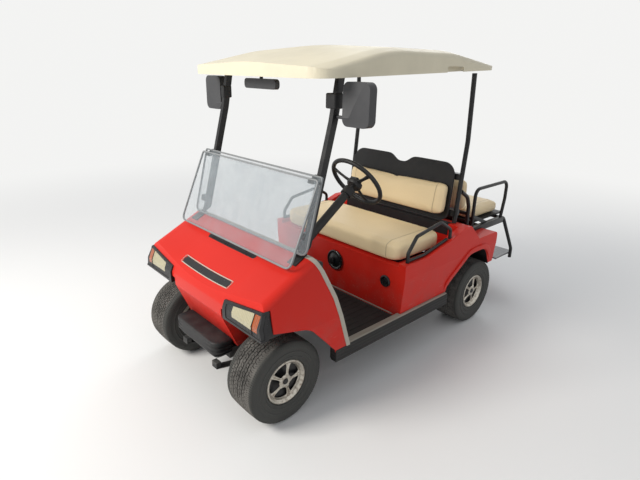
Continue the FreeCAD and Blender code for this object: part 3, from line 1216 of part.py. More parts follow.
def make_rear_seat():
    """The rear-facing kit: side frames, cross tubes, arms, both cushions, board and footplate."""
    low = "deck_height + kit_across/2 + soft_gap"
    side = tube("YZ_Plane", "kit_place", "kit_across/2",
                ("rear_strut_bend + rear_strut_across/2", "brace_height"),
                ("brace_turn", "brace_turn_height", "kit_bend"),
                ("kit_front", "kit_shoulder", "kit_bend"), ("kit_front", low, "kit_bend"),
                ("kit_corner", low, "kit_bend"), ("hanger_foot", "hanger_knee", "hanger_bend"),
                ("hanger_foot", "plate_low - plate_lip"))
    crosses = [rod("kit_across/2", "2*kit_place", "-kit_place", row, height, X_AXIS)
               for row, height in (("cross_front", low), ("cross_rear", low), ("kit_front", "cross_back"))]
    pin = rod("hanger_pin", "kit_place - plate_half", "plate_half", "hanger_foot",
              "plate_low + plate_thick/2", X_AXIS)
    node(fuse(side, mirror(side), pin, mirror(pin), *crosses), "rear_seat_frame")
    arm = tube("YZ_Plane", "kit_place", "arm_across/2", ("arm_front", f"{low} + kit_across/2"),
               ("arm_front", "arm_top", "arm_bend"), ("arm_rear", "arm_top", "arm_bend"),
               ("arm_rear", "arm_knee", "arm_bend"), ("arm_foot", f"{low} + kit_across/2"))
    node(pair(cut(arm, side)), "rear_arms")
    board_low = f"{low} + kit_across/2 + soft_gap"
    plan = [("-rear_seat_half", "rear_seat_front"), ("rear_seat_half", "rear_seat_front"),
            ("rear_seat_half", "rear_seat_rear"), ("-rear_seat_half", "rear_seat_rear")]
    node(prism("XY_Plane", board_low, f"{board_low} + rear_board", plan), "rear_seat_board")
    cushion = prism("XY_Plane", f"{board_low} + rear_board", f"{board_low} + rear_seat_deep", plan)
    top = value(f"{board_low} + rear_seat_deep")
    fillet(cushion, "rear_seat_round", lambda edge: abs(edge.BoundBox.ZMin - top) < 0.1)
    node(cushion, "rear_seat")
    back_row = "kit_front + kit_across/2 + soft_gap"
    node(prism("YZ_Plane", "-rear_seat_half", "rear_seat_half", [
        (back_row, "rear_back_low"), (f"{back_row} + rear_back_deep", "rear_back_low", "back_round"),
        (f"{back_row} + rear_back_deep - rear_back_lean", "rear_back_top", "back_round"),
        (back_row, "rear_back_top")]), "rear_backrest")
    plate = box("-plate_half", "plate_front", "plate_low", "2*plate_half", "tail_reach - plate_front",
                "plate_thick")
    lip = box("-plate_half", "tail_reach - plate_lip_thick", "plate_low - plate_lip",
              "2*plate_half", "plate_lip_thick", "plate_lip")
    node(fuse(plate, lip), "footplate")


def main():
    """Builds every piece, checks the document and writes one file for each node."""
    make_wheels()
    make_front_axle()
    make_knuckle("knuckle_left", 1, "0")
    make_knuckle("knuckle_right", -1, "180")
    make_tie_rod()
    make_springs("front_springs", "-wheelbase/2", "tyre_radius - beam_drop - beam_radius",
                 "tyre_radius - beam_drop - beam_radius + leaf_rise", "rail_low")
    make_rear_axle()
    make_springs("rear_springs", "wheelbase/2", "tyre_radius - axle_radius",
                 "tyre_radius - axle_radius + leaf_rise", "rail_low + rail_lift")
    make_frame()
    make_floor()
    make_pedals()
    make_rockers()
    make_cowl()
    make_trim()
    make_dash()
    make_lamps()
    make_bumper()
    make_front_struts()
    make_rear_struts()
    make_roof()
    make_windshield()
    make_mirrors()
    make_steering()
    make_rear_body()
    make_rear_liner()
    make_pod_fittings()
    make_front_seat()
    make_hip_restraints()
    make_rear_seat()
    DOC.recompute()
    for thing in DOC.Objects:
        if "Invalid" in thing.State or "Error" in thing.State:
            raise RuntimeError(f"{thing.Name} ({thing.Label}) did not build: {thing.State}")
    os.makedirs("parts", exist_ok=True)
    for piece in NODES:
        if piece.Shape.isNull() or not piece.Shape.isValid():
            raise RuntimeError(f"{piece.Label} has no valid shape")
        piece.Shape.exportStep(f"parts/{piece.Label}.step")
        print(piece.Label, len(piece.Shape.Solids), round(piece.Shape.Volume))


main()
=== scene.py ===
import json
import math
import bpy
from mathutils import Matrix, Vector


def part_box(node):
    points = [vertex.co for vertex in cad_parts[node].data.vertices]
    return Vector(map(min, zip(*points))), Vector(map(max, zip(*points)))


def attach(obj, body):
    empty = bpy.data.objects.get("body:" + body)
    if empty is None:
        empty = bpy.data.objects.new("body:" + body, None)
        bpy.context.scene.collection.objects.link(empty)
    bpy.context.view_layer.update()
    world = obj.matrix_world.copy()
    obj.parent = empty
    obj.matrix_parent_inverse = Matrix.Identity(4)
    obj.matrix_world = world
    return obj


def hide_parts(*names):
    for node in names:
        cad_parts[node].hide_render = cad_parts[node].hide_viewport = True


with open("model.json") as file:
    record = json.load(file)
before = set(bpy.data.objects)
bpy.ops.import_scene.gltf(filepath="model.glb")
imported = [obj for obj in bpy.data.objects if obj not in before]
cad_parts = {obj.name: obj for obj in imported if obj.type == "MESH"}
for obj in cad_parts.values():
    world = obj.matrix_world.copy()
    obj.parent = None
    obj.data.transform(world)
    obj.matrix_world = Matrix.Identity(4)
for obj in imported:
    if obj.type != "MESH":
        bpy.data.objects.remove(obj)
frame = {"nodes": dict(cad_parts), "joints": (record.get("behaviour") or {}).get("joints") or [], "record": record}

from types import SimpleNamespace

import bmesh
import bpy
import numpy as np
from mathutils import Matrix, Vector
from mathutils.bvhtree import BVHTree

bl_info = {
    "name": "Golf cart looks",
    "version": (1, 0, 0),
    "blender": (4, 5, 0),
    "location": "3D View > Sidebar > Cart",
    "description": "Dresses the golf cart's frame: tyres, wheel faces, cushions, panes, trim and finishes",
    "category": "Object",
}

# Everything is in metres: +X to the driver's side, +Y to the rear and +Z up.
# The photograph's camera, in the cart's own frame.
CAMERA_PLACE = Vector((2.1088, -2.38385, 1.7113))
CAMERA_AROUND = math.radians(47.135)
CAMERA_ABOVE = math.radians(19.8045)
CAMERA_ROLL = math.radians(1.124)
PHOTO_WIDTH = 640
FOCAL_PIXELS = 476.93
FILM_WIDE = 36.0

# The floor's reach each way, and where it starts and ends to turn into the backdrop.
FLOOR_REACH = 60.0
FADE_START, FADE_END = 1.5, 7.0
# How strongly the world lights what the camera doesn't see through it.
SKY_STRENGTH = 0.52
SKY_TINT = (0.94, 0.96, 1.0, 1)
LIGHTS_AIM = Vector((0, 0, 0.6))
# The lamps' lenses are black below this height.
LENS_FOOT = 0.588
# How far in from its node's box a cushion's form lies, and how its cover is meshed and blown up.
CUSHION_INSET = np.array([0.006, 0.006, 0.004])
COVER_VOXEL = 0.011
CLOTH_PRESSURE, CLOTH_TENSION, CLOTH_QUALITY, CLOTH_STEPS = 4, 20, 4, 20
# Corners this near are one: on shapes made here, and on the frame's nodes.
SAME_HERE, SAME_IN_NODE = 1e-6, 2e-5
# Edges of moulded panels sharper than this many degrees are rounded.
SHARP_EDGE = 28
WHEELS = ("front_left", "front_right", "rear_left", "rear_right")
SIDES = ((1, "left"), (-1, "right"))
X_WAY = np.array([1.0, 0, 0])
REARWARD, DOWN = (0, 1, 0), (0, 0, -1)
FULL_TURN = 2 * math.pi
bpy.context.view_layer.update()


def length(name, words, default, least=0.0):
    """A length property, in metres."""
    return bpy.props.FloatProperty(name=name, description=words, default=default, min=least, unit="LENGTH")


class CartSizes(bpy.types.PropertyGroup):
    """Sizes of the pieces that the frame doesn't fix."""

    tread_depth: length("Tread depth", "How deep the grooves between the tyre's ribs are", 0.0055)
    tread_pitches: bpy.props.IntProperty(
        name="Tread blocks", description="How many blocks go once round a tyre", default=64, min=12)
    spokes: bpy.props.IntProperty(name="Spokes", description="Spokes in a wheel's face", default=5, min=3)
    swell: length("Swell", "How far the stuffing may push a cushion's cover out", 0.011)
    cover_inset: length("Cover inset", "How far in a cushion's cover starts on every side", 0.003)
    edge_round: length("Edge rounding", "Radius of the rounded edges of moulded panels", 0.004)
    pane_trim: length("Pane trim", "Width of the grey trim round the windshield's panes", 0.009)
    flare_wide: length("Flare width", "Width of the raised band round a rear wheel opening", 0.036, 0.005)
    plate_pitch: length("Plate pitch", "Distance between the raised bars on the footplate", 0.024, 0.005)


def colour(name, words, default):
    """A colour property, in linear light."""
    return bpy.props.FloatVectorProperty(name=name, description=words, default=default, size=3,
                                         min=0, max=1, subtype="COLOR")


class CartColours(bpy.types.PropertyGroup):
    """Colours of the cart's finishes."""

    paint: colour("Paint", "Moulded body skin", (0.66, 0.024, 0.014))
    scratch: colour("Scratches", "Scratches low on the body skin", (0.75, 0.45, 0.40))
    cream: colour("Roof", "Roof moulding", (0.72, 0.66, 0.50))
    vinyl: colour("Vinyl", "Seat covers", (0.90, 0.72, 0.44))
    strip: colour("Strip", "Pale strips on the cowl, the sills and the pod's foot", (0.40, 0.37, 0.31))
    black: colour("Black", "Moulded black plastic", (0.009, 0.009, 0.010))
    grey: colour("Grey", "Mirror housings", (0.040, 0.041, 0.044))
    sill: colour("Sill", "Sills below the doorways", (0.010, 0.010, 0.010))
    edging: colour("Edging", "Trim round the windshield's panes", (0.20, 0.21, 0.215))
    tube: colour("Tube", "Painted tubes and struts", (0.007, 0.007, 0.008))
    under: colour("Underside", "Frame and floor under the body", (0.030, 0.030, 0.030))
    rubber: colour("Rubber", "Clean tyre rubber", (0.013, 0.013, 0.013))
    dust: colour("Dust", "Pale dust on tyres and low panels", (0.19, 0.18, 0.165))
    plating: colour("Plating", "Wheel faces", (0.52, 0.49, 0.43))
    tarnish: colour("Tarnish", "Spots on the wheel faces", (0.20, 0.13, 0.08))
    steel: colour("Steel", "Bare steel parts below", (0.20, 0.19, 0.18))
    bloom: colour("Bloom", "Brown bloom on bare steel", (0.10, 0.055, 0.03))
    # Both footplate tones are darkened as painted shade on the aluminium; the scuffs between them are wear.
    plate: colour("Plate", "Footplate, where it is scuffed", (0.26, 0.265, 0.27))
    plate_shade_dark: colour("Plate's low places", "Footplate, where it is not scuffed", (0.10, 0.105, 0.11))
    pane: colour("Pane", "Tint of the windshield", (0.42, 0.47, 0.50))
    lamp: colour("Lamp", "Clear lamp lens", (0.54, 0.49, 0.31))
    amber: colour("Amber", "Turn signal lens", (0.42, 0.085, 0.010))
    mirror: colour("Mirror", "Mirror glass", (0.75, 0.78, 0.80))
    stage: colour("Stage", "Floor round the cart", (0.86, 0.86, 0.85))
    backdrop: colour("Backdrop", "What the camera sees behind the cart", (0.90, 0.90, 0.89))


def arithmetic(operation, swapped=False):
    """A method that adds a Math node on a socket and one more value."""
    def method(self, other):
        return self.math(operation, *((other, self) if swapped else (self, other)))
    return method


class Socket:
    """A node's output; arithmetic on it adds Math nodes, with numbers on either side."""

    def __init__(self, tree, output):
        self.tree = tree
        self.output = output

    def math(self, operation, *values, clamp=False):
        """A Math node on these values."""
        settings = {"operation": operation, "use_clamp": clamp}
        return node(self.tree, "ShaderNodeMath", settings, dict(enumerate(values)))

    __add__, __radd__ = arithmetic("ADD"), arithmetic("ADD", True)
    __sub__, __rsub__ = arithmetic("SUBTRACT"), arithmetic("SUBTRACT", True)
    __mul__, __rmul__ = arithmetic("MULTIPLY"), arithmetic("MULTIPLY", True)
    __gt__, __lt__ = arithmetic("GREATER_THAN"), arithmetic("LESS_THAN")
    __truediv__, __pow__ = arithmetic("DIVIDE"), arithmetic("POWER")

    def held(self):
        """The value held between 0 and 1."""
        return self.math("ADD", self, 0.0, clamp=True)

    def distance(self):
        """The value without its sign."""
        return self.math("ABSOLUTE", self)


def node(tree, kind, settings, values, output=0):
    """A node of this kind: settings first, then each socket's value or link; gives one output."""
    made = tree.nodes.new(kind)
    for name, setting in settings.items():
        setattr(made, name, setting)
    for name, item in values.items():
        if isinstance(item, Socket):
            tree.links.new(item.output, made.inputs[name])
        else:
            made.inputs[name].default_value = item
    return Socket(tree, made.outputs[output])


class Finish:
    """A material under construction, with its surface shader."""

    def __init__(self, name):
        material = bpy.data.materials.new(name)
        material.use_nodes = True
        self.tree = material.node_tree
        self.shader = self.tree.nodes["Principled BSDF"]

    def place(self, stretch=(1, 1, 1)):
        """The point on the piece, in metres, each axis times its stretch."""
        point = node(self.tree, "ShaderNodeTexCoord", {}, {}, "Object")
        return node(self.tree, "ShaderNodeMapping", {}, {"Vector": point, "Scale": stretch})

    def axis(self, letter):
        """The point's place along X, Y or Z."""
        point = node(self.tree, "ShaderNodeTexCoord", {}, {}, "Object")
        return node(self.tree, "ShaderNodeSeparateXYZ", {}, {"Vector": point}, letter)

    def height(self):
        """The height above the ground."""
        return self.axis("Z")

    def noise(self, size, detail=3.0, stretch=(1, 1, 1)):
        """Cloudy noise from 0 to 1 whose patches are about this many metres across."""
        values = {"Vector": self.place(stretch), "Scale": 1 / size, "Detail": detail}
        return node(self.tree, "ShaderNodeTexNoise", {}, values)

    def cells(self, size):
        """Distance from the middle of cells about this many metres across."""
        return node(self.tree, "ShaderNodeTexVoronoi", {}, {"Vector": self.place(), "Scale": 1 / size})

    def waves(self, direction, scale):
        """Even waves that follow each other along X or Z."""
        settings = {"wave_type": "BANDS", "bands_direction": direction}
        return node(self.tree, "ShaderNodeTexWave", settings, {"Vector": self.place(), "Scale": scale})

    def patches(self, size, detail, start, end, stretch=(1, 1, 1)):
        """Noise cut into patches: 0 where it is below the start, 1 above the end."""
        cut = node(self.tree, "ShaderNodeValToRGB", {}, {"Fac": self.noise(size, detail, stretch)})
        first, last = cut.output.node.color_ramp.elements
        first.position, last.position = start, end
        return cut

    def blend(self, factor, first, second):
        """First colour where the factor is 0, second where it is 1."""
        first, second = ((*tone, 1) if isinstance(tone, tuple) else tone for tone in (first, second))
        return node(self.tree, "ShaderNodeMix", {"data_type": "RGBA"}, {0: factor, 6: first, 7: second}, 2)

    def bump(self, height, depth, strength=1.0, under=None):
        """A bumped normal: height times depth in metres."""
        values = {"Height": height, "Distance": depth, "Strength": strength}
        if under:
            values["Normal"] = under
        return node(self.tree, "ShaderNodeBump", {}, values)

    def faded(self, factor, tone):
        """The surface mixed toward a plain glow of this colour, where the factor is 1."""
        glow = node(self.tree, "ShaderNodeEmission", {}, {"Color": (*tone, 1)})
        surface = Socket(self.tree, self.shader.outputs[0])
        mixed = node(self.tree, "ShaderNodeMixShader", {}, {0: factor, 1: surface, 2: glow})
        self.tree.links.new(mixed.output, self.tree.nodes["Material Output"].inputs["Surface"])

    def done(self, **sockets):
        """Puts constants and links on the shader's sockets; underscores stand for spaces."""
        for name, item in sockets.items():
            socket = self.shader.inputs[name.replace("_", " ")]
            if isinstance(item, Socket):
                self.tree.links.new(item.output, socket)
            elif isinstance(item, tuple):
                socket.default_value = (*item, 1)
            else:
                socket.default_value = item


def rays_seen(tree):
    """1 for rays that show the backdrop: from the camera, off gloss or through glass."""
    kinds = ("Is Camera Ray", "Is Glossy Ray", "Is Transmission Ray")
    return sum(node(tree, "ShaderNodeLightPath", {}, {}, kind) for kind in kinds).held()


def shade(tone, factor):
    """A colour made lighter or darker by a factor."""
    return tuple(min(1.0, part * factor) for part in tone)


def paint_finish(colours):
    """Moulded red skin: broad fading, dust and scuffs low down, fine orange peel."""
    work = Finish("paint")
    tone = colours.paint
    fading = work.noise(0.45, 2.0)
    low = ((0.66 - work.height()) * 2.4).held()
    specks = work.patches(0.012, 5.0, 0.52, 0.70)
    patches = work.patches(0.10, 4.0, 0.42, 0.72)
    dirt = (low * patches * (0.35 + specks * 0.5)).held()
    scratches = work.patches(0.010, 3.0, 0.66, 0.72, (1.0, 0.12, 1.0)) * low
    base = work.blend(fading, tone, shade(tone, 0.86))
    base = work.blend(dirt * 0.55, base, colours.dust)
    base = work.blend(scratches * 0.25, base, colours.scratch)
    peel = work.bump(work.noise(0.004, 2.0), 0.00012)
    work.done(Base_Color=base, Roughness=0.34 + dirt * 0.35 + scratches * 0.2 + fading * 0.08,
              Coat_Weight=0.06, Coat_Roughness=0.12, Specular_IOR_Level=0.16,
              Normal=work.bump(scratches, 0.0002, 0.6, peel))


def cream_finish(colours):
    """Roof moulding: matt pale plastic with faint streaks down its sides and a fine grain."""
    work = Finish("cream")
    tone = colours.cream
    streaks = work.noise(0.05, 4.0, (1.0, 1.0, 0.15))
    stains = work.patches(0.22, 4.0, 0.45, 0.75)
    base = work.blend(streaks * 0.25, tone, shade(tone, 0.80))
    base = work.blend(stains * 0.30, base, shade(tone, 0.72))
    grain = work.bump(work.cells(0.0035), 0.00022)
    work.done(Base_Color=base, Roughness=0.42 + streaks * 0.12, Specular_IOR_Level=0.45, Normal=grain)


def vinyl_finish(name, colours, seam):
    """Seat cover: pebbled, softly folded vinyl with a sewn seam where |x| meets the seam's place."""
    work = Finish(name)
    tone = colours.vinyl
    clouds = work.noise(0.16, 3.0)
    pebbles = work.cells(0.0024)
    wrinkles = work.noise(0.030, 3.0, (0.45, 1.0, 1.0))
    line = (1 - (work.axis("X").distance() - seam).distance() * 260).held()
    base = work.blend(clouds * 0.35, tone, shade(tone, 0.84))
    base = work.blend(pebbles * 0.16, base, shade(tone, 0.62))
    base = work.blend(line * 0.55, base, shade(tone, 0.38))
    folds = work.bump(wrinkles, 0.0030, 0.45)
    sewn = work.bump(1 - line, 0.0040, 0.9, folds)
    work.done(Base_Color=base, Roughness=0.42 + clouds * 0.12, Specular_IOR_Level=0.42,
              Normal=work.bump(pebbles, 0.00040, 0.8, sewn))


def moulded_finish(name, colours, tone, rough, grain_size, grain_depth, dusting):
    """Textured plastic: pitted grain, dull patches and dust that gathers low down."""
    work = Finish(name)
    clouds = work.noise(0.12, 4.0)
    low = ((0.75 - work.height()) * 1.8).held()
    film = (work.patches(0.05, 5.0, 0.40, 0.75) * (low * 0.8 + 0.2)).held()
    base = work.blend(clouds * 0.5, tone, shade(tone, 1.5))
    base = work.blend(film * dusting, base, colours.dust)
    grain = work.bump(work.cells(grain_size), grain_depth)
    work.done(Base_Color=base, Roughness=rough + clouds * 0.12 + film * 0.15, Specular_IOR_Level=0.38,
              Normal=grain)


def sill_finish(colours):
    """Sill: black side with long ribs, under a worn pale top edge."""
    work = Finish("sill")
    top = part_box("rockers")[1].z
    edge = ((work.height() - (top - 0.006)) * 900).held()
    wear = work.noise(0.05, 4.0, (1.0, 0.3, 1.0))
    ribs = work.waves("Z", 16.0)
    base = work.blend(wear * 0.12, colours.sill, colours.dust)
    base = work.blend(edge * (0.5 + wear * 0.5), base, colours.strip)
    work.done(Base_Color=base, Roughness=0.46 + wear * 0.15, Specular_IOR_Level=0.30,
              Normal=work.bump(ribs, 0.0015))


def tube_finish(colours):
    """Satin black on tube: slight orange peel, small chips that show grey."""
    work = Finish("tube")
    chips = work.patches(0.010, 5.0, 0.70, 0.73)
    film = work.patches(0.09, 4.0, 0.45, 0.80)
    base = work.blend(film * 0.10, colours.tube, colours.dust)
    base = work.blend(chips * 0.35, base, colours.steel)
    work.done(Base_Color=base, Roughness=0.34 + film * 0.2, Specular_IOR_Level=0.35,
              Normal=work.bump(work.noise(0.005, 2.0), 0.00015))


def tyre_finish(name, colours, extra):
    """Tyre rubber under dry dust in clouds and specks, with extra dust where the tread wears."""
    work = Finish(name)
    clouds = work.noise(0.07, 5.0)
    specks = work.patches(0.006, 4.0, 0.45, 0.72)
    low = ((0.30 - work.height()) * 2.2).held()
    cover = ((clouds - 0.46) * 1.6 + low * 0.30 + specks * 0.25 + extra).held()
    base = work.blend(cover * 0.75, colours.rubber, colours.dust)
    work.done(Base_Color=base, Roughness=0.78 + cover * 0.15, Specular_IOR_Level=0.15,
              Normal=work.bump(work.noise(0.0035, 4.0), 0.0006))


def plating_finish(colours):
    """Wheel face: dull plating with brown spots and small pits."""
    work = Finish("plating")
    spots = work.patches(0.018, 5.0, 0.50, 0.66)
    pits = work.patches(0.005, 4.0, 0.58, 0.72)
    film = work.noise(0.05, 3.0)
    base = work.blend(spots * 0.50, colours.plating, colours.tarnish)
    base = work.blend(pits * 0.5, base, shade(colours.tarnish, 0.5))
    work.done(Base_Color=base, Metallic=0.85 - spots * 0.35,
              Roughness=0.30 + spots * 0.3 + film * 0.15,
              Normal=work.bump(pits + spots * 0.4, 0.0003))


def steel_finish(colours):
    """Bare steel below the body: grey with brown bloom and grit."""
    work = Finish("steel")
    bloom = work.patches(0.035, 5.0, 0.42, 0.68)
    base = work.blend(bloom * 0.6, colours.steel, colours.bloom)
    work.done(Base_Color=base, Metallic=0.6 - bloom * 0.4, Roughness=0.50 + bloom * 0.3,
              Normal=work.bump(work.noise(0.004, 4.0), 0.0003))


def treadplate_finish(colours):
    """Aluminium plate, scuffed along; both its tones are darkened as painted shade, the darker one where it is not
    scuffed.
    """
    work = Finish("treadplate")
    scuffs = work.noise(0.02, 5.0, (1.0, 0.3, 1.0))
    # Painted shade: both tones are kept dark; the noise between them marks the scuffs.
    base = work.blend(scuffs, colours.plate_shade_dark, colours.plate)
    work.done(Base_Color=base, Metallic=0.7, Roughness=0.36 + scuffs * 0.2,
              Normal=work.bump(scuffs, 0.0002))


def pane_finish(colours):
    """Clear sheet with a grey film, thicker in cloudy patches and fine streaks."""
    work = Finish("pane")
    film = work.patches(0.18, 4.0, 0.40, 0.75)
    streaks = work.noise(0.02, 3.0, (1.0, 0.15, 0.15))
    work.done(Base_Color=colours.pane, Roughness=0.04 + film * 0.10,
              Alpha=0.16 + film * 0.10 + streaks * 0.05, Specular_IOR_Level=0.6)


def lens_finish(name, colours, tone, cover, inner, outer):
    """Moulded lens: clear colour with vertical flutes and small pads, black outside its open part.

    The open part lies between the inner and outer distance from the middle plane, above LENS_FOOT."""
    work = Finish(name)
    flutes = work.waves("X", 26.0)
    pads = work.cells(0.008)
    across = work.axis("X").distance()
    hidden = ((across < inner) + (across > outer) + (work.height() < LENS_FOOT)).held()
    base = work.blend(flutes * 0.5, tone, shade(tone, 0.65))
    base = work.blend(hidden, base, colours.black)
    work.done(Base_Color=base, Roughness=0.10 + pads * 0.12 + hidden * 0.25,
              Alpha=(cover + flutes * 0.06 + hidden).held(),
              Coat_Weight=(1 - hidden) * 0.6, Normal=work.bump(flutes, 0.0012))


def stage_finish(colours):
    """Floor: pale and faintly mottled by the cart, plain backdrop colour to the camera farther out."""
    work = Finish("stage")
    tone = colours.stage
    mottle = work.noise(0.9, 2.0)
    distance = (work.axis("X") ** 2 + work.axis("Y") ** 2) ** 0.5
    reach = ((distance - FADE_START) / (FADE_END - FADE_START)).held()
    work.done(Base_Color=work.blend(mottle * 0.3, tone, shade(tone, 0.95)), Roughness=0.65)
    work.faded(reach * reach * (3 - 2 * reach) * rays_seen(work.tree), colours.backdrop)


def mirror_finish(colours):
    """Mirror glass with a breath of haze."""
    work = Finish("mirror")
    haze = work.noise(0.05, 3.0)
    work.done(Base_Color=colours.mirror, Metallic=1.0, Roughness=0.02 + haze * 0.06)


def mix_finishes(group):
    """Makes every finish once; pieces take them by name."""
    colours = SimpleNamespace(**{name: tuple(getattr(group, name)) for name in CartColours.__annotations__})
    for make in (paint_finish, cream_finish, sill_finish, tube_finish, plating_finish, steel_finish,
                 treadplate_finish, pane_finish, mirror_finish, stage_finish):
        make(colours)
    for name, seam in SEAMS.items():
        vinyl_finish(name, colours, seam)
    for name, tone, *look in MOULDED:
        moulded_finish(name, colours, getattr(colours, tone), *look)
    for name, extra in TYRE_DUST.items():
        tyre_finish(name, colours, extra)
    for name, tone, *look in LENSES:
        lens_finish(name, colours, getattr(colours, tone), *look)


class Shape:
    """Points and faces as whole arrays; + puts two shapes in one mesh."""

    def __init__(self, points, faces):
        self.points = np.asarray(points, float).reshape(-1, 3)
        self.faces = [(np.asarray(face, int), slot) for face, slot in faces]

    def __add__(self, other):
        shift = len(self.points)
        moved = [(face + shift, slot) for face, slot in other.faces]
        return Shape(np.concatenate([self.points, other.points]), self.faces + moved)

    def at(self, x, y, z):
        """The shape moved by x, y and z."""
        return Shape(self.points + (x, y, z), self.faces)

    def turned(self, axis, angle):
        """The shape turned about an axis through the origin."""
        matrix = np.array(Matrix.Rotation(angle, 3, axis))
        return Shape(self.points @ matrix.T, self.faces)

    def mirrored(self):
        """The mirror image across the cart's middle plane."""
        return Shape(self.points * (-1, 1, 1), [(face[:, ::-1], slot) for face, slot in self.faces])


def joined(shapes):
    """Several shapes as one."""
    first, *others = shapes
    return sum(others, first)


def unit(rows):
    """Vectors brought to length 1."""
    return rows / np.linalg.norm(rows, axis=-1, keepdims=True)


def full_turn(steps, shift=0.0):
    """Angles that divide a full turn evenly, moved on by a share of a step."""
    return (np.arange(steps) + shift) / steps * FULL_TURN


def ball(turns, rises):
    """Points of the unit sphere: one row for each rise above the middle, one column for each turn."""
    level = np.cos(rises)[:, None]
    return np.stack([level * np.cos(turns), level * np.sin(turns), np.sin(rises)[:, None] + 0 * turns], -1)


def grid(points, close_rows=False, close_columns=False, slot=0, keep=None):
    """Quads over points[row, column]; either direction may close on itself, keep drops cells."""
    points = np.asarray(points, float)
    rows, columns = points.shape[:2]
    row, column = np.meshgrid(np.arange(rows if close_rows else rows - 1),
                              np.arange(columns if close_columns else columns - 1), indexing="ij")
    if keep is not None:
        row, column = row[keep], column[keep]
    below, beside = (row + 1) % rows, (column + 1) % columns
    faces = np.stack([row * columns + column, below * columns + column,
                      below * columns + beside, row * columns + beside], -1).reshape(-1, 4)
    return Shape(points, [(faces, slot)])


def capped(points):
    """A grid whose columns close, with a fan over its first and last rows."""
    rows, columns = points.shape[:2]
    body = grid(points, close_columns=True)
    around = np.arange(columns)
    first = rows * columns
    fans = np.concatenate([
        np.stack([np.full(columns, first), around, (around + 1) % columns], -1),
        np.stack([np.full(columns, first + 1), (rows - 1) * columns + (around + 1) % columns,
                  (rows - 1) * columns + around], -1)])
    middles = np.stack([points[0].mean(0), points[-1].mean(0)])
    return Shape(np.concatenate([body.points, middles]), body.faces + [(fans, 0)])


def lathe(profile, steps, slot=0):
    """Turns (x, radius) points about the X axis: y = radius cos a, z = radius sin a."""
    x, radius = np.array(profile, float).T[:, :, None]
    angle = full_turn(steps)
    points = np.stack([x + 0 * angle, radius * np.cos(angle), radius * np.sin(angle)], -1)
    return grid(points, close_columns=True, slot=slot)


def corners_rounded(corners, steps):
    """A path through corners (point, radius): straight runs, with an arc inside each corner."""
    points, radii = zip(*corners)
    points = np.array(points, float)
    path = [points[0]]
    for before, corner, after, radius in zip(points, points[1:], points[2:], radii[1:]):
        back, ahead = unit(before - corner), unit(after - corner)
        reach = radius / math.tan(math.acos(np.clip(back @ ahead, -1, 1)) / 2)
        part = np.linspace(0, 1, steps)[:, None]
        start, end = corner + back * reach, corner + ahead * reach
        path.extend((1 - part) ** 2 * start + 2 * part * (1 - part) * corner + part ** 2 * end)
    path.append(points[-1])
    return np.array(path)


def carried(path, section, side, closed=False):
    """A closed section (across, out) carried along a path that lies square to side."""
    path = np.asarray(path, float)
    ahead = np.roll(path, -1, 0) - np.roll(path, 1, 0)
    if not closed:
        ahead[0] = path[1] - path[0]
        ahead[-1] = path[-1] - path[-2]
    side = np.asarray(side, float)
    out = unit(np.cross(unit(ahead), side))
    points = path[:, None] + section[None, :, :1] * side + section[None, :, 1:] * out[:, None]
    if closed:
        return grid(points, close_rows=True, close_columns=True)
    return capped(points)


def ring(radius, steps=20):
    """A circle as a section."""
    angle = full_turn(steps)
    return radius * np.stack([np.cos(angle), np.sin(angle)], -1)


def slab_section(wide, high, rounding, steps=24):
    """A flat section with round corners: a superellipse wide by high."""
    circle = ring(1, steps)
    return np.sign(circle) * np.abs(circle) ** rounding * (wide / 2, high / 2)


def rounded_block(low, high, radius, steps=6):
    """A block with round edges: a small sphere pulled apart to the block's eight corners."""
    low, high = np.array(low, float), np.array(high, float)
    rises = (np.arange(2 * steps) + 0.5) / (2 * steps) * math.pi - math.pi / 2
    direction = ball(full_turn(4 * steps, 0.5), rises)
    middle, half = (low + high) / 2, (high - low) / 2
    radius = np.minimum(radius, half * 0.98)
    return capped(middle + np.sign(direction) * (half - radius) + direction * radius)


def stand(name, mesh, body, angle):
    """An object of a mesh, smooth up to an angle, that rides on a body."""
    mesh.shade_smooth()
    mesh.set_sharp_from_angle(angle=math.radians(angle))
    made = bpy.data.objects.new(name, mesh)
    bpy.context.scene.collection.objects.link(made)
    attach(made, body)
    return made


def piece(name, shape, finishes, body, replaced=(), angle=35, outward=True):
    """Makes an object of a shape, its finishes in the order of the shape's slots."""
    mesh = bpy.data.meshes.new(name)
    faces = [face for part, index in shape.faces for face in part.tolist()]
    mesh.from_pydata(shape.points.tolist(), [], faces)
    slots = np.concatenate([np.full(len(part), index) for part, index in shape.faces])
    for finish in finishes:
        mesh.materials.append(bpy.data.materials[finish])
    mesh.polygons.foreach_set("material_index", slots.astype(np.int32))
    if outward:
        clean(mesh, SAME_HERE)
    made = stand(name, mesh, body, angle)
    if replaced:
        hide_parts(*replaced)
    return made


def bit(name, shape, finish, body="chassis", replaced=(), outward=True):
    """A piece with one finish and a slot, on the chassis unless another body is named."""
    return piece(name, shape, [finish], body, replaced, outward=outward)


def clean(mesh, near, flat=None):
    """Merges corners this near, joins faces flat within an angle, if one is given, and turns all out."""
    shell = bmesh.new()
    shell.from_mesh(mesh)
    bmesh.ops.remove_doubles(shell, verts=shell.verts, dist=near)
    if flat:
        angle = math.radians(flat)
        bmesh.ops.dissolve_limit(shell, angle_limit=angle, verts=shell.verts, edges=shell.edges)
    bmesh.ops.recalc_face_normals(shell, faces=shell.faces)
    shell.to_mesh(mesh)
    shell.free()


def modifier(made, kind, **settings):
    """Adds a modifier with its settings."""
    added = made.modifiers.new(kind.lower(), kind)
    for name, setting in settings.items():
        setattr(added, name, setting)
    return added


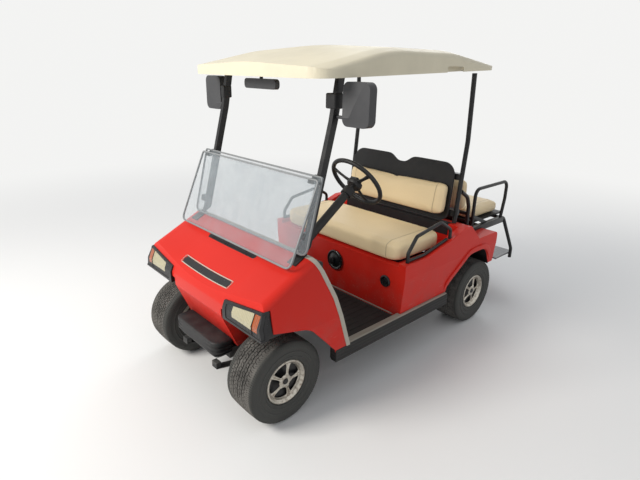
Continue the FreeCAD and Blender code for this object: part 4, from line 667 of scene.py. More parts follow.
def softened(name, source, finish, body, width, flat):
    """A copy of a node's mesh with its flat faces joined and its edges rounded, in the node's place."""
    mesh = frame["nodes"][source].data.copy()
    mesh.name = name
    clean(mesh, SAME_IN_NODE, flat)
    mesh.materials.clear()
    mesh.materials.append(bpy.data.materials[finish])
    mesh.polygons.foreach_set("material_index", np.zeros(len(mesh.polygons), np.int32))
    made = stand(name, mesh, body, SHARP_EDGE)
    modifier(made, "BEVEL", width=width, segments=3, limit_method="ANGLE",
             angle_limit=math.radians(SHARP_EDGE), harden_normals=True, use_clamp_overlap=True,
             miter_outer="MITER_ARC")
    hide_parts(source)


def body_of_node(name):
    """The body that carries a node."""
    return next(body for body, nodes in frame["record"]["behaviour"]["bodies"].items() if name in nodes)


def tyre_shape(low, high, bead, sizes):
    """A tyre centred on the origin with its axle along X.

    The section is the tread's low crown, then a round shoulder and a bulging wall down to the
    bead, with three rings on the wall. Ring grooves and slanted cuts lower the radius by the tread
    depth, in steps, and the ribs sway from block to block. The tread takes the second slot."""
    radius, half = (high.z - low.z) / 2, (high.x - low.x) / 2
    edge, bulge = 0.82 * half, 0.76 * radius
    step, shoulder, rib = 0.0004, 0.070, 0.018
    # Distance from the middle and width.
    grooves = ((0.0, 0.0060), (0.018, 0.0026), (0.036, 0.0060), (0.054, 0.0030))
    marks = [shoulder - step, shoulder + step, edge]
    marks += [middle + way * wide / 2 + nudge for middle, wide in grooves
              for way in (-1, 1) for nudge in (-step, step)]
    tread = np.unique(np.round([mark for mark in marks if mark > 0], 6))
    crown = radius - 0.003 * (tread / edge) ** 2
    top = crown[-1]
    arc = np.linspace(0.08, math.pi / 2, 9)
    upper = np.stack([edge + (half - edge) * np.sin(arc) ** 0.7,
                      bulge + (top - bulge) * np.cos(arc) ** 0.8], -1)
    arc = np.linspace(0, math.pi / 2, 33)[1:]
    lower = np.stack([0.80 * half + 0.20 * half * np.cos(arc) ** 0.7,
                      bulge - (bulge - bead) * np.sin(arc) ** 0.9], -1)
    right = np.concatenate([np.stack([tread, crown], -1), upper, lower])
    across, out = np.concatenate([right[::-1] * (-1, 1), right]).T
    distance = np.abs(across)
    on_tread = distance < shoulder
    on_shoulder = ~on_tread & (out > bulge + 0.35 * (top - bulge))
    even = np.floor(distance / rib).astype(int) % 2 == 0
    # Where each block's two cuts start and end, as shares of its length.
    stops = np.array([0, 0.02, 0.16, 0.18, 0.5, 0.52, 0.66, 0.68])
    blocks = sizes.tread_pitches
    turn = ((np.arange(blocks)[:, None] + stops) / blocks).ravel()
    part = np.tile(stops, blocks)
    first, second = (part > 0.01) & (part < 0.17), (part > 0.51) & (part < 0.67)
    cut = np.any([np.abs(distance - middle) < wide / 2 for middle, wide in grooves], 0)[:, None]
    cut = cut | (on_tread & even)[:, None] & first | (on_tread & ~even)[:, None] & second
    notch = on_shoulder[:, None] & (first | second)
    reach = out[:, None] - sizes.tread_depth * cut - 0.0028 * notch
    slant = 0.6 * np.abs((distance / (2 * rib)) % 1 - 0.5) / blocks * (distance < half)
    angle = (turn + slant[:, None]) * FULL_TURN
    sway = 0.0024 * (np.abs((turn * blocks / 2) % 1 * 4 - 2) - 1) * on_tread[:, None]
    wall = ~(on_tread | on_shoulder) & (out < bulge + 0.5 * (top - bulge))
    rings = sum(np.exp(-((out - bead - rise) / 0.0030) ** 2) for rise in (0.008, 0.024, 0.050))
    wide = across + 0.0034 * (rings - 1) * wall * np.sign(across)
    points = np.stack([wide[:, None] + sway, reach * np.cos(angle), reach * np.sin(angle)], -1)
    whole = grid(points, close_rows=True, close_columns=True)
    faces = whole.faces[0][0]
    worn = np.repeat(distance < edge, len(turn))
    return Shape(whole.points, [(faces[~worn], 0), (faces[worn], 1)])


def wheel_face(spokes, outer, lip):
    """The plated face as height over (radius, angle): rolled lip, dish, spokes with two ridges, hub.

    Columns follow each spoke's edges, which flare with the radius; the cells between spokes are
    left open. Across a spoke, s from -1 to 1, the crown is 1 - s to the fourth less a bell at 0."""
    # Rows as shares of the lip's radius; the windows lie between two of them.
    rows = np.array([0.125, 0.160, 0.200, 0.235, 0.265, 0.285, 0.300, 0.350, 0.430, 0.520, 0.610, 0.700,
                     0.765, 0.780, 0.800, 0.825, 0.850, 0.875, 0.905, 0.935, 0.968, 0.992, 1.0])
    window_start, window_end = 6, 12
    # Share of the lip's radius and depth behind the outer plane.
    depths = np.array([(0.125, 0.012), (0.20, 0.010), (0.27, 0.012), (0.36, 0.018), (0.765, 0.024),
                       (0.80, 0.020), (0.825, 0.011), (0.85, 0.010), (0.90, 0.002), (0.95, 0.0),
                       (0.99, 0.004), (1.0, 0.012)])
    plane = outer - np.interp(rows, *depths.T)[:, None]
    radii = (rows * lip)[:, None]
    first, last = radii[window_start], radii[window_end]
    span = np.clip((radii - first) / (last - first), 0, 1)
    half_wide = 0.0075 + 0.0060 * span ** 1.4 + 0.006 * np.abs(2 * span - 1) ** 12
    half_angle = half_wide / np.maximum(radii, 0.03)
    across = np.linspace(-1, 1, 11)
    gap = np.linspace(0, 1, 9)[1:-1]
    sector = FULL_TURN / spokes
    one = np.concatenate([across * half_angle, half_angle + gap * (sector - 2 * half_angle)], 1)
    angle = np.concatenate([one + place * sector for place in range(spokes)], 1)
    crown = 1 - across ** 4 - 1.5 * np.exp(-(across / 0.30) ** 2)
    crown = np.tile(np.concatenate([crown, np.full(len(gap), -0.4)]), spokes)
    row = np.arange(len(rows))[:, None]
    on_spokes = (row > window_start - 2) & (row < window_end + 2)
    plane = plane + 0.0045 * crown * on_spokes
    points = np.stack([plane, radii * np.cos(angle), radii * np.sin(angle)], -1)
    window = np.arange(angle.shape[1]) % one.shape[1] >= len(across) - 1
    keep = ~((row >= window_start) & (row < window_end) & window)[:-1]
    return grid(points, close_columns=True, keep=keep)


def wheel_back(outer, wide, lip):
    """What shows behind a wheel's face: barrel with both flanges, dark backing and hub cap."""
    inner, seat, hollow = outer - wide, 0.885 * lip, 0.83 * lip
    barrel = lathe([(outer - 0.012, lip), (outer - 0.014, lip), (outer - 0.014, seat),
                    (inner + 0.008, seat), (inner + 0.007, lip), (inner, lip), (inner, hollow),
                    (outer - 0.030, hollow)], 72)
    backing = lathe([(outer - 0.034, hollow), (outer - 0.042, 0.052), (outer - 0.040, 0.0002)], 72, slot=1)
    cap = lathe([(outer - 0.014, 0.0165), (outer - 0.009, 0.0150), (outer - 0.007, 0.0100),
                 (outer - 0.008, 0.0002)], 48, slot=1)
    return barrel + backing + cap


def laid(source, points, toward, lift):
    """Points dropped onto a node's surface along a direction, then lifted off it along its normal."""
    mesh = frame["nodes"][source].data
    tree = BVHTree.FromPolygons([tuple(vertex.co) for vertex in mesh.vertices],
                                [tuple(face.vertices) for face in mesh.polygons])
    toward = Vector(toward).normalized()
    landed = []
    for point in np.asarray(points, float).reshape(-1, 3):
        hit, normal = tree.ray_cast(Vector(point), toward)[:2]
        if hit is None:
            raise RuntimeError(f"no surface of {source} lies under {tuple(point)}")
        if normal.dot(toward) > 0:
            normal.negate()
        landed.append(hit + normal * lift)
    return np.array(landed).reshape(np.shape(points))


def strip_on(source, start, end, wide, toward, proud, ends, steps=48):
    """A raised strip along a straight line on a node's surface."""
    start, end = np.array(start, float), np.array(end, float)
    line = start + (end - start) * np.linspace(0, 1, steps)[:, None]
    return band_on(source, line, wide, toward, proud, ends)


def band_on(source, path, wide, toward, proud, ends):
    """A raised band along a path on a node's surface: a rounded section that narrows at its ends."""
    toward = np.array(Vector(toward).normalized())
    side = np.cross(unit(np.gradient(path, axis=0)), toward)
    reach = np.concatenate([[0], np.cumsum(np.linalg.norm(np.diff(path, axis=0), axis=1))])
    angle = np.linspace(0, math.pi, 9)
    across = np.cos(angle) * wide / 2
    taper = np.clip(np.minimum(reach, reach[-1] - reach) / ends, 0, 1)[:, None] ** 0.5
    base = laid(source, path[:, None] + side[:, None] * (across * taper)[..., None], toward, 0.0)
    rise = proud * np.clip(np.sin(angle) * 2.2, 0, 1) - 0.0008
    return grid(base - toward * (rise * taper)[..., None])


def stuffed(name, start, finish, body, source, swell):
    """A cushion: a closed shape remeshed, blown up as cloth with its swell held, then subdivided once."""
    made = piece(name, start, [finish], body, [source], angle=180)
    bpy.context.view_layer.objects.active = made
    remesh = modifier(made, "REMESH", mode="VOXEL", voxel_size=COVER_VOXEL, use_smooth_shade=True)
    made.data = settled(made)
    made.modifiers.remove(remesh)
    before = positions(made.data)
    cloth = modifier(made, "CLOTH")
    cloth.settings.use_pressure = True
    cloth.settings.uniform_pressure_force = CLOTH_PRESSURE
    cloth.settings.quality = CLOTH_QUALITY
    cloth.settings.tension_stiffness = CLOTH_TENSION
    cloth.settings.effector_weights.gravity = 0
    cloth.point_cache.frame_start = 1
    cloth.point_cache.frame_end = CLOTH_STEPS
    for step in range(1, CLOTH_STEPS + 1):
        bpy.context.scene.frame_set(step)
    after = positions(settled(made))
    made.modifiers.remove(cloth)
    bpy.context.scene.frame_set(1)
    move = after - before
    far = np.linalg.norm(move, axis=1, keepdims=True)
    after = before + move * np.minimum(1, swell / np.maximum(far, 1e-9))
    made.data.vertices.foreach_set("co", np.clip(after, *np.array(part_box(source))).ravel())
    made.data.update()
    made.data.materials.clear()
    made.data.materials.append(bpy.data.materials[finish])
    modifier(made, "SUBSURF", levels=1, render_levels=1)
    made.data.shade_smooth()


def positions(mesh):
    """All vertex places of a mesh as an array."""
    points = np.empty(len(mesh.vertices) * 3)
    mesh.vertices.foreach_get("co", points)
    return points.reshape(-1, 3)


def settled(made):
    """A new mesh as the object's modifiers leave it."""
    graph = bpy.context.evaluated_depsgraph_get()
    return bpy.data.meshes.new_from_object(made.evaluated_get(graph), preserve_all_data_layers=True,
                                           depsgraph=graph)


def cushion_block(low, high, inset, crown, rounding, dip):
    """A crowned cushion form: superellipse in plan, its top and bottom drawn in toward the edge.

    Each point of the unit sphere goes to sign(c) |c| ** rounding on every axis, then the top rises
    by the crown times (1 - x squared)(1 - y squared) and sinks by the dip times a bell round x = 0."""
    rises = np.linspace(-math.pi / 2, math.pi / 2, 33)[1:-1]
    direction = ball(full_turn(64), rises)
    box = np.sign(direction) * np.abs(direction) ** rounding
    box /= np.abs(box).max((0, 1))
    low, high = np.array(low, float) + inset, np.array(high, float) - inset
    points = (low + high) / 2 + box * (high - low) / 2
    x, y, z = np.moveaxis(box, -1, 0)
    points[..., 2] += crown * (1 - x ** 2) * (1 - y ** 2) * (z > 0)
    points[..., 2] -= dip * np.exp(-(x / 0.24) ** 2) * (0.5 + 0.5 * z)
    return capped(points)


class DressOperator(bpy.types.Operator):
    """Shared by the steps that make one group of pieces."""

    bl_options = {"REGISTER"}

    @property
    def sizes(self):
        """The sizes set for this scene."""
        return bpy.context.scene.cart_sizes


class CART_OT_finishes(DressOperator):
    """Makes every finish and gives each plain node its own"""

    bl_idname = "cart.finishes"
    bl_label = "Finishes"

    def execute(self, context):
        mix_finishes(context.scene.cart_colours)
        for finish, names in PLAIN_NODES.items():
            for name in names:
                materials = frame["nodes"][name].data.materials
                materials.clear()
                materials.append(bpy.data.materials[finish])
        return {"FINISHED"}


class CART_OT_wheels(DressOperator):
    """Four treaded tyres and their plated wheel faces"""

    bl_idname = "cart.wheels"
    bl_label = "Wheels"

    def execute(self, context):
        for place in WHEELS:
            low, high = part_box("tyre_" + place)
            rim_low, rim_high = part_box("rim_" + place)
            middle = (low + high) / 2
            left = middle.x > 0
            outer = rim_high.x - middle.x if left else middle.x - rim_low.x
            turn = 0 if left else math.pi
            body = "wheel_" + place
            lip = (rim_high.z - rim_low.z) / 2
            tread = tyre_shape(low, high, lip - 0.003, self.sizes).turned("Z", turn).at(*middle)
            piece("tread_" + place, tread, ["tyre", "tread"], body, ["tyre_" + place], angle=25)
            back = wheel_back(outer, rim_high.x - rim_low.x, lip).turned("Z", turn).at(*middle)
            piece("barrel_" + place, back, ["plating", "smooth_black"], body, ["rim_" + place], angle=40)
            face = wheel_face(self.sizes.spokes, outer, lip).turned("Z", turn).at(*middle)
            plate = bit("face_" + place, face, "plating", body, outward=False)
            modifier(plate, "SOLIDIFY", thickness=0.004, offset=-1)
            modifier(plate, "SUBSURF", levels=1, render_levels=1)
        return {"FINISHED"}


class CART_OT_shells(DressOperator):
    """Moulded panels and brackets with rounded edges"""

    bl_idname = "cart.shells"
    bl_label = "Panels"

    def execute(self, context):
        for source, finish, share, flat in SOFT_EDGES:
            width = self.sizes.edge_round * share
            softened(source + "_skin", source, finish, body_of_node(source), width, flat)
        return {"FINISHED"}


class CART_OT_front(DressOperator):
    """Bumper, blank name plate, hood slot, lamp surrounds and strut clamps"""

    bl_idname = "cart.front"
    bl_label = "Front"

    def execute(self, context):
        low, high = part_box("front_bumper")
        bit("bumper_skin", bumper_shape(low, high), "black", replaced=["front_bumper"])
        half, row = 0.234, -1.248
        plate = on_cowl((-half, row), (half, row), 0.036, 0.0016, 0.001)
        bit("name_plate", plate, "smooth_black", outward=False)
        x, front, back = half + 0.004, row - 0.0195, row + 0.0195
        lines = (((-x, front), (x, front), 48), ((-x, back), (x, back), 48),
                 ((-x, front), (-x, back), 12), ((x, front), (x, back), 12))
        edge = joined(on_cowl(*line, 0.0035, 0.0030, 0.001, steps) for *line, steps in lines)
        bit("name_plate_edge", edge, "strip", outward=False)
        half, row = 0.231, -1.083
        slot = on_cowl((-half, row), (half, row), 0.030, 0.0012, 0.010)
        bit("hood_slot", slot, "smooth_black", outward=False)
        low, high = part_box("lamp_bezels")
        for side, place in SIDES:
            rows, height = np.meshgrid(np.linspace(low.y + 0.028, low.y + 0.140, 12),
                                       np.linspace(low.z + 0.006, high.z - 0.006, 16), indexing="ij")
            across = side * (high.x - 0.008 - 0.235 * (height - low.z))
            sheet = grid(np.stack([across, rows, height], -1))
            wrap = bit("lamp_wrap_" + place, sheet, "smooth_black", outward=False)
            modifier(wrap, "SOLIDIFY", thickness=0.003, offset=0)
            inner = 0.425 if side > 0 else 0.455
            clamp = rounded_block((inner, -0.806, 1.535), (0.490, -0.748, 1.605), 0.008)
            clamp = clamp if side > 0 else clamp.mirrored()
            bit("strut_clamp_" + place, clamp, "black")
        return {"FINISHED"}


def on_cowl(start, end, wide, proud, ends, steps=48):
    """A raised strip between two places (x, y) on top of the cowl."""
    return strip_on("front_cowl", (*start, 1.0), (*end, 1.0), wide, DOWN, proud, ends, steps)


def bumper_shape(low, high):
    """The bumper: a flat-faced section with ridges at its ends, carried round a curved plan.

    The plan runs forward, across and back, with a round corner between. The section's face steps
    in at three heights, by an amount that fades out toward the middle."""
    wide, back, front = high.x, high.y, low.y
    corner, corner_steps = 0.055, 12
    plan = corners_rounded([((wide, back, 0), 0), ((wide, front, 0), corner), ((-wide, front, 0), corner),
                            ((-wide, back, 0), 0)], corner_steps)
    inner = np.linspace(plan[corner_steps], plan[corner_steps + 1], 16)[1:-1]
    plan = np.concatenate([plan[:corner_steps + 1], inner, plan[corner_steps + 1:]])
    out = unit(np.cross(np.gradient(plan, axis=0), (0, 0, 1)))
    out *= np.sign((out * (plan - (0, (back + front) / 2, 0))).sum(1, keepdims=True))
    part = np.linspace(0, 1, 41)
    z = low.z + (high.z - low.z) * part
    near_edge = np.clip(np.abs(part - 0.5) * 2 - 0.8, 0, 0.2) / 0.2
    edge_round = 0.012 * (1 - np.sqrt(1 - near_edge ** 2))
    taper = 0.022 * np.clip(0.35 - part, 0, 1) / 0.35
    ridge = np.round(0.5 + 0.5 * np.sin(part * 9 * math.pi)) * ((part > 0.12) & (part < 0.88))
    near_end = np.clip((np.abs(plan[:, 0]) - 0.60 * wide) / (0.25 * wide), 0, 1)
    depth = edge_round + taper + 0.006 * near_end[:, None] * ridge
    points = plan[:, None] * (1, 1, 0) - out[:, None] * depth[..., None]
    points[..., 1] = np.minimum(points[..., 1], back)
    points[..., 2] = z
    spine = np.stack([np.clip(points[:, 0, 0], -wide + 0.03, wide - 0.03), np.full(len(plan), back),
                      np.full(len(plan), low.z)], -1)[:, None]
    return capped(np.concatenate([spine, points, spine + (0, 0, high.z - low.z)], 1))


class CART_OT_screen(DressOperator):
    """Grey edge trim round both windshield panes"""

    bl_idname = "cart.screen"
    bl_label = "Windshield trim"

    def execute(self, context):
        for source, round_top in (("windshield_lower", 0.012), ("windshield_upper", 0.018)):
            vertices = positions(frame["nodes"][source].data)
            low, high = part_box(source)
            foot = vertices[vertices[:, 2] < low.z + 0.004].mean(0)
            head = vertices[vertices[:, 2] > high.z - 0.004].mean(0)
            rise = (head - foot) * (0, 1, 1)
            middle = (foot + head) / 2 * (0, 1, 1)
            wide, tall = high.x - 0.004, np.linalg.norm(rise) / 2 - 0.002
            up = unit(rise)
            # Shares of the half width and height, and the corner's radius.
            places = ((0, -1, 0), (1, -1, 0.040), (1, 1, round_top), (-1, 1, round_top), (-1, -1, 0.040),
                      (0, -1, 0))
            corners = [(middle + X_WAY * x * wide + up * z * tall, radius) for x, z, radius in places]
            section = slab_section(0.010, self.sizes.pane_trim, 0.35)
            trim = carried(corners_rounded(corners, 10)[:-1], section, np.cross(X_WAY, up), closed=True)
            bit(source + "_trim", trim, "edging")
        return {"FINISHED"}


class CART_OT_seats(DressOperator):
    """Stuffed cushions, the sheet behind them, a black sheet of painted shade over the seat well, and side rails
    """

    bl_idname = "cart.seats"
    bl_label = "Seats"

    def execute(self, context):
        sizes = self.sizes
        for source, body, finish, turned, crown, rounding, dip in CUSHIONS:
            low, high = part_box(source)
            start = cushion_block(low, high, CUSHION_INSET + sizes.cover_inset, crown, rounding, dip)
            if turned:
                start = Shape(leaned(start.points, source), start.faces)
            stuffed(source + "_cover", start, finish, body, source, sizes.swell)
        shell = bit("shell_moulding", shell_shape(), "black", replaced=["backrest_shell"],
                    outward=False)
        modifier(shell, "SOLIDIFY", thickness=0.009, offset=0)
        modifier(shell, "BEVEL", width=0.003, segments=2, limit_method="ANGLE",
                 angle_limit=math.radians(50))
        # Black sheet laid on the red body where the seat well lies in shade: painted shade, not a real cover.
        bit("well_cover", well_shade_shape(), "black", outward=False)
        for side, place in SIDES:
            over = [(0.5715 * side, row, 1.0) for row in np.linspace(-0.255, 0.135, 40)]
            rail = carried(laid("rear_body", over, DOWN, 0.010), ring(0.0095), X_WAY)
            bit("seat_rail_" + place, rail, "tube")
            beside = side * (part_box("rear_seat_frame")[1].x - 0.013)
            bar = rounded_block((beside - 0.019, 0.590, 0.620), (beside + 0.019, 1.040, 0.6655), 0.006)
            line = [(beside, 0.610, 0.742), (beside, 0.820, 0.655)]
            brace = carried(line, slab_section(0.008, 0.026, 0.3), X_WAY)
            bit("kit_bar_" + place, bar + brace, "tube")
        return {"FINISHED"}


def well_shade_shape():
    """A black sheet of painted shade laid on the red body in the seat well: up the body's wall behind the bench,
    then back over the ledge.
    """
    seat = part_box("front_seat")[1]
    run = np.linspace(-0.47, 0.47, 40)
    levels, columns = np.meshgrid(np.linspace(0.674, 0.7505, 12), run, indexing="ij")
    wall = np.stack([columns, np.full(levels.shape, seat.y + 0.002), levels], -1)
    wall = laid("rear_body", wall, REARWARD, 0.002)
    start, end = wall[-1, 0, 1] + 0.005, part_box("backrest_shell")[0].y + 0.030
    rows, columns = np.meshgrid(np.linspace(start, end, 24), run, indexing="ij")
    ledge = np.stack([columns, rows, np.full(rows.shape, seat.z + 0.2)], -1)
    return grid(np.concatenate([wall, laid("rear_body", ledge, DOWN, 0.002)]))


def shell_shape():
    """The sheet behind the front backrest, with two humps along its top.

    Over s from -1 to 1 across, the top edge is the box's top less a corner that falls as a quarter
    ellipse and a valley round the middle; the sides come forward by the fourth power of s."""
    low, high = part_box("backrest_shell")
    middle = (low.y + high.y) / 2
    across = np.sin(np.linspace(-math.pi / 2, math.pi / 2, 121))[None, :]
    up = np.linspace(0, 1, 49)[:, None]
    corner = 0.090 * (1 - (1 - np.clip((np.abs(across) - 0.80) / 0.20, 0, 1) ** 2) ** 0.5)
    valley = 0.046 * np.exp(-(np.abs(across) / 0.17) ** 3)
    foot = 0.060 * (1 - (1 - np.clip((np.abs(across) - 0.86) / 0.14, 0, 1) ** 2) ** 0.5)
    bottom, top = low.z + 0.005 + foot, high.z - 0.005 - corner - valley
    z = bottom + (top - bottom) * up
    lean = (z - low.z) / (high.z - low.z) - 0.5
    y = middle + (high.y - low.y - 0.014) * 0.9 * lean - 0.010 * across ** 4 + 0.004
    x = np.broadcast_to(across * (high.x - 0.005), z.shape)
    return grid(np.stack([x, np.clip(y, low.y + 0.005, high.y - 0.005), z], -1))


def leaned(points, source):
    """Points moved along Y so that an upright form follows a node's lean from foot to head."""
    vertices = positions(frame["nodes"][source].data)
    low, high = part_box(source)
    levels = [vertices[np.abs(vertices[:, 2] - height) < 0.035] for height in (low.z, high.z)]
    rows = [(level[:, 1].min() + level[:, 1].max()) / 2 for level in levels]
    depth = [np.ptp(level[:, 1]) for level in levels]
    part = np.clip((points[:, 2] - low.z) / (high.z - low.z), 0, 1)
    middle = (low.y + high.y) / 2
    depth_here = depth[0] + (depth[1] - depth[0]) * part
    row_here = rows[0] + (rows[1] - rows[0]) * part
    moved = points.copy()
    moved[:, 1] = row_here + (points[:, 1] - middle) * depth_here / (high.y - low.y)
    return moved


class CART_OT_steering(DressOperator):
    """Grip, spokes and hub of the steering wheel"""

    bl_idname = "cart.steering"
    bl_label = "Steering wheel"

    def execute(self, context):
        joint = next(entry for entry in frame["joints"] if entry["name"] == "steering_turn")
        axis = np.array(joint["axis"]) * math.copysign(1, joint["axis"][2])
        centre = np.array(joint["pos_m"])
        up = np.cross(axis, X_WAY)
        radius, grip, lift = 0.164, 0.0125, 0.037
        turn, tube = full_turn(180), full_turn(24)
        out = np.cos(turn)[:, None] * X_WAY + np.sin(turn)[:, None] * up
        bumps = 1 + 0.06 * np.clip(np.sin(turn * 36), 0, 1)[:, None] * np.clip(-np.cos(tube), 0, 1)
        middle_line = centre + axis * lift + radius * out
        around = np.cos(tube)[:, None] * out[:, None] + np.sin(tube)[:, None] * axis
        rim = grid(middle_line[:, None] + grip * bumps[..., None] * around, close_rows=True,
                   close_columns=True)
        run = np.linspace(0.030, radius, 14)
        rise = 0.022 + (lift - 0.022) * ((run - run[0]) / (run[-1] - run[0])) ** 1.6
        width = 0.030 - 0.012 * np.sin(np.linspace(0, math.pi, 14))
        section = slab_section(1, 1, 0.5, 20)
        spokes = []
        for angle in np.radians((90, 210, 330)):
            spread = math.cos(angle) * X_WAY + math.sin(angle) * up
            path = centre + run[:, None] * spread + rise[:, None] * axis
            beside = section[:, :1] * width[:, None, None] * np.cross(axis, spread)
            spokes.append(capped(path[:, None] + beside + section[:, 1:] * 0.011 * axis))
        hub = lathe([(0.0006, 0.0001), (0.0006, 0.040), (0.010, 0.046), (0.026, 0.046), (0.034, 0.040),
                     (0.037, 0.028), (0.038, 0.0001)], 64)
        hub = Shape(hub.points @ np.stack([axis, X_WAY, up]) + centre, hub.faces)
        clip = rounded_block((-0.030, -0.036, 0.037), (0.030, 0.030, 0.043), 0.004)
        clip = Shape(clip.points @ np.stack([X_WAY, up, axis]) + centre, clip.faces)
        bit("steering_grip", joined([rim, *spokes, hub, clip]), "black", "steering",
            ["steering_wheel"])
        return {"FINISHED"}


class CART_OT_pod(DressOperator):
    """Shift plate and lever, charge socket, pale foot line and flares round the rear wheel openings"""

    bl_idname = "cart.pod"
    bl_label = "Pod"

    def execute(self, context):
        quarter = math.pi / 2
        low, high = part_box("shifter")
        x, z = (low.x + high.x) / 2, (low.z + high.z) / 2
        dish = lathe([(0.0, 0.0675), (0.008, 0.0675), (0.012, 0.062), (0.010, 0.054), (0.006, 0.050),
                      (0.010, 0.036), (0.018, 0.026), (0.020, 0.0002)], 72)
        screw = lathe([(0.0, 0.0045), (0.013, 0.0045), (0.014, 0.003), (0.014, 0.0001)], 20)
        screws = [screw.at(0, 0.060 * math.cos(turn), 0.060 * math.sin(turn)) for turn in full_turn(4, 0.5)]
        plate = joined([dish, *screws]).turned("Z", -quarter).at(x, high.y - 0.010, z)
        shaft = lathe([(0.0, 0.009), (0.040, 0.008), (0.040, 0.0001)], 24)
        shaft = shaft.turned("Z", -quarter).at(x, high.y - 0.012, z)
        knob = rounded_block((x - 0.014, low.y, z - 0.016), (x + 0.014, low.y + 0.016, z + 0.030), 0.007)
        bit("shift_lever", plate + shaft + knob, "smooth_black", replaced=["shifter"])
        low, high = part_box("charge_socket")
        socket = lathe([(0.0, 0.037), (0.008, 0.037), (0.0125, 0.033), (0.0135, 0.029), (0.008, 0.027),
                        (0.006, 0.018), (0.011, 0.015), (0.012, 0.0002)], 64)
        socket = socket.turned("Z", -quarter).at((low.x + high.x) / 2, high.y, (low.z + high.z) / 2)
        bit("charge_port", socket, "smooth_black", replaced=["charge_socket"])
        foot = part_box("floor_mat")[1].z
        ends = ((-0.53, -0.45, foot), (0.53, -0.45, foot))
        line = strip_on("rear_body", *ends, 0.009, REARWARD, 0.0015, 0.004)
        bit("pod_foot_line", line, "strip", outward=False)
        wide = self.sizes.flare_wide
        for side, place in SIDES:
            edge = arch_path(wide / 2 + 0.003) * (side, 1, 1)
            flare = band_on("rear_body", edge, wide, (-side, 0, 0), 0.010, 0.012)
            bit("arch_flare_" + place, flare, "paint", outward=False)
        return {"FINISHED"}


def arch_path(out):
    """The rear wheel opening's edge from foot to tail, moved out from the opening, beside the body."""
    corners = [((0.8, 0.162, 0.340), 0), ((0.8, 0.192, 0.395), 0.05), ((0.8, 0.400, 0.550), 0.12),
               ((0.8, 0.605, 0.550), 0.12), ((0.8, 0.690, 0.416), 0)]
    path = corners_rounded(corners, 14)
    return path + np.cross((1, 0, 0), unit(np.gradient(path, axis=0))) * out


class CART_OT_footplate(DressOperator):
    """Raised bars over the rear footplate"""

    bl_idname = "cart.footplate"
    bl_label = "Footplate"

    def execute(self, context):
        low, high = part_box("footplate")
        pitch = self.sizes.plate_pitch
        columns = int((high.x - low.x - pitch) / pitch)
        rows = int((high.y - low.y - pitch) / pitch)
        bar = rounded_block((-0.0085, -0.0022, -0.0012), (0.0085, 0.0022, 0.0014), 0.0018, 1)
        bars = []
        for column in range(columns):
            for row in range(rows):
                turn = math.radians(45 if (column + row) % 2 else -45)
                x = (column - (columns - 1) / 2) * pitch
                y = (low.y + high.y) / 2 + (row - (rows - 1) / 2) * pitch
                bars.append(bar.turned("Z", turn).at(x, y, high.z))
        bit("plate_bars", joined(bars), "treadplate")
        return {"FINISHED"}


class CART_OT_stage(DressOperator):
    """Floor, backdrop, lights and the photograph's camera"""

    bl_idname = "cart.stage"
    bl_label = "Stage"

    def execute(self, context):
        scene = context.scene
        view = scene.view_settings
        view.view_transform = "Standard"
        mesh = bpy.data.meshes.new("stage")
        run = np.linspace(-FLOOR_REACH, FLOOR_REACH, 3)
        sheet = grid(np.stack([*np.meshgrid(run, run, indexing="ij"), np.zeros((3, 3))], -1))
        mesh.from_pydata(sheet.points.tolist(), [], sheet.faces[0][0].tolist())
        mesh.materials.append(bpy.data.materials["stage"])
        floor = bpy.data.objects.new("stage", mesh)
        scene.collection.objects.link(floor)
        for name, place, power, size, tint in LIGHTS:
            data = bpy.data.lights.new(name, "AREA")
            data.energy = power
            data.size = size
            data.color = tint
            lamp = bpy.data.objects.new(name, data)
            lamp.location = place
            lamp.rotation_euler = (LIGHTS_AIM - Vector(place)).to_track_quat("-Z", "Y").to_euler()
            scene.collection.objects.link(lamp)
        world = bpy.data.worlds.new("sky")
        world.use_nodes = True
        tree = world.node_tree
        seen = rays_seen(tree)
        tones = {0: seen, 6: SKY_TINT, 7: (*scene.cart_colours.backdrop, 1)}
        tint = node(tree, "ShaderNodeMix", {"data_type": "RGBA"}, tones, 2)
        strength = seen + (1 - seen) * SKY_STRENGTH
        for name, socket in (("Color", tint), ("Strength", strength)):
            tree.links.new(socket.output, tree.nodes["Background"].inputs[name])
        scene.world = world
        data = bpy.data.cameras.new("camera")
        data.sensor_width = FILM_WIDE
        data.lens = FOCAL_PIXELS / PHOTO_WIDTH * FILM_WIDE
        camera = bpy.data.objects.new("camera", data)
        back = Vector((math.sin(CAMERA_AROUND) * math.cos(CAMERA_ABOVE),
                       -math.cos(CAMERA_AROUND) * math.cos(CAMERA_ABOVE), math.sin(CAMERA_ABOVE)))
        right = Vector((0, 0, 1)).cross(back).normalized()
        up = back.cross(right)
        turned_right = math.cos(CAMERA_ROLL) * right + math.sin(CAMERA_ROLL) * up
        turned_up = math.cos(CAMERA_ROLL) * up - math.sin(CAMERA_ROLL) * right
        turn = Matrix((turned_right, turned_up, back)).transposed()
        camera.matrix_world = Matrix.Translation(CAMERA_PLACE) @ turn.to_4x4()
        scene.collection.objects.link(camera)
        scene.camera = camera
        return {"FINISHED"}


# Where each seat cover's seam lies on either side of the middle.
SEAMS = {"vinyl_seat": 0.432, "vinyl_back": 0.362, "vinyl_rear": 0.330}
# Extra dust on the tyres' two finishes.
TYRE_DUST = {"tyre": 0.0, "tread": 0.60}
# Name, colour, roughness, the grain's size and depth, and how far dust covers it.
MOULDED = (
    ("black", "black", 0.46, 0.0026, 0.00025, 0.16),
    ("grey", "grey", 0.42, 0.0030, 0.00030, 0.22),
    ("edging", "edging", 0.34, 0.0200, 0.00004, 0.10),
    ("mat", "rubber", 0.66, 0.0040, 0.00040, 0.10),
    ("under", "under", 0.70, 0.0080, 0.00050, 0.45),
    ("strip", "strip", 0.40, 0.0050, 0.00010, 0.30),
    ("smooth_black", "black", 0.22, 0.0200, 0.00002, 0.08),
)
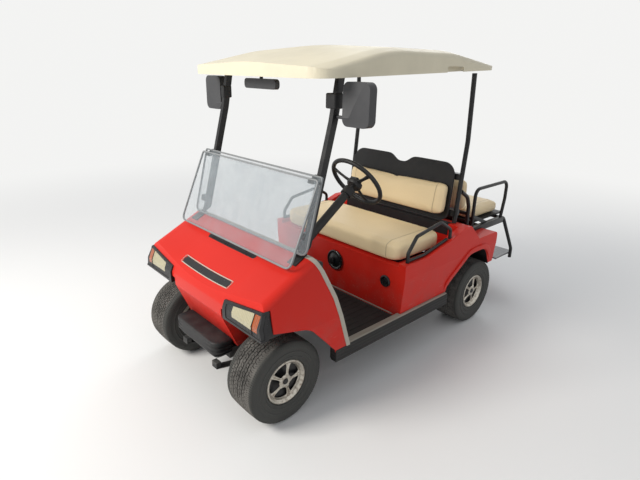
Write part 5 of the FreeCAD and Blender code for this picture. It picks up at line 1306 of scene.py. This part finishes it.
# Name, colour, cover, and where the open part starts and ends.
LENSES = (
    ("clear_lens", "lamp", 0.86, 0.352, 0.550),
    ("amber_lens", "amber", 0.90, 0.500, 0.558),
)
# Nodes shown as the frame has them, by finish.
PLAIN_NODES = {
    "strip": ("cowl_trim",),
    "mat": ("floor_mat",),
    "under": ("floor_pan", "frame", "front_springs", "rear_springs"),
    "steel": ("drive_motor", "front_axle", "knuckle_left", "knuckle_right", "rear_axle", "tie_rod"),
    "tube": ("hip_restraints", "rear_arms", "rear_seat_frame", "rear_struts", "seat_brackets"),
    "black": ("steering_column", "rear_seat_board", "pedals", "rear_liner"),
    "pane": ("windshield_lower", "windshield_upper"),
    "clear_lens": ("lamp_lenses",),
    "amber_lens": ("signal_lenses",),
    "mirror": ("mirror_glasses",),
}
# Node, finish, share of the edge rounding and the angle up to which flat faces join.
SOFT_EDGES = (
    ("front_cowl", "paint", 1.0, 0.2), ("rear_body", "paint", 1.0, 0.2), ("roof", "cream", 0.8, 0.01),
    ("dash", "black", 1.0, 0.2), ("lamp_bezels", "smooth_black", 0.8, 0.2), ("rockers", "sill", 0.8, 0.2),
    ("side_mirrors", "grey", 1.2, 0.2), ("centre_mirror", "grey", 1.0, 0.2),
    ("front_struts", "tube", 0.9, 0.2), ("footplate", "treadplate", 0.5, 0.2),
    ("windshield_clips", "black", 0.5, 0.2), ("battery_pack", "black", 1.2, 0.2),
)
# Node, body, finish, leans, crown, roundness and dip in the top edge's middle.
CUSHIONS = (
    ("front_seat", "front_bench", "vinyl_seat", False, 0.004, 0.22, 0.0),
    ("front_backrest", "chassis", "vinyl_back", True, 0.0, 0.24, 0.024),
    ("rear_seat", "rear_bench", "vinyl_rear", False, 0.004, 0.24, 0.0),
    ("rear_backrest", "chassis", "vinyl_rear", True, 0.0, 0.26, 0.0),
)
# Name, place, power, size and tint.
LIGHTS = (
    ("key", (-1.3, -5.0, 3.9), 265.0, 2.0, (1.0, 0.97, 0.92)),
    ("side_fill", (4.6, -0.4, 3.0), 8.0, 3.2, (0.96, 0.98, 1.0)),
    ("back_fill", (-2.6, 4.2, 3.8), 60.0, 3.2, (0.96, 0.98, 1.0)),
)

STEPS = (CART_OT_finishes, CART_OT_wheels, CART_OT_shells, CART_OT_front, CART_OT_screen, CART_OT_seats,
         CART_OT_steering, CART_OT_pod, CART_OT_footplate, CART_OT_stage)


class CART_PT_panel(bpy.types.Panel):
    """Lists the steps and the sizes and colours they use."""

    bl_label = "Golf cart"
    bl_idname = "CART_PT_panel"
    bl_space_type = "VIEW_3D"
    bl_region_type = "UI"
    bl_category = "Cart"

    def draw(self, context):
        for step in STEPS:
            self.layout.operator(step.bl_idname)
        for group in (context.scene.cart_sizes, context.scene.cart_colours):
            for name in group.bl_rna.properties.keys():
                if name not in ("rna_type", "name"):
                    self.layout.prop(group, name)


CLASSES = (CartSizes, CartColours, *STEPS, CART_PT_panel)


def register():
    """Registers the classes and puts their settings on the scene."""
    for item in CLASSES:
        bpy.utils.register_class(item)
    bpy.types.Scene.cart_sizes = bpy.props.PointerProperty(type=CartSizes)
    bpy.types.Scene.cart_colours = bpy.props.PointerProperty(type=CartColours)


def unregister():
    """Takes the settings off the scene and the classes out."""
    del bpy.types.Scene.cart_colours
    del bpy.types.Scene.cart_sizes
    for item in reversed(CLASSES):
        bpy.utils.unregister_class(item)


def main():
    """Runs each step in order."""
    register()
    for step in STEPS:
        group, name = step.bl_idname.split(".")
        result = getattr(getattr(bpy.ops, group), name)()
        if "FINISHED" not in result:
            raise RuntimeError(f"{step.bl_label} did not finish")


if __name__ == "__main__":
    main()
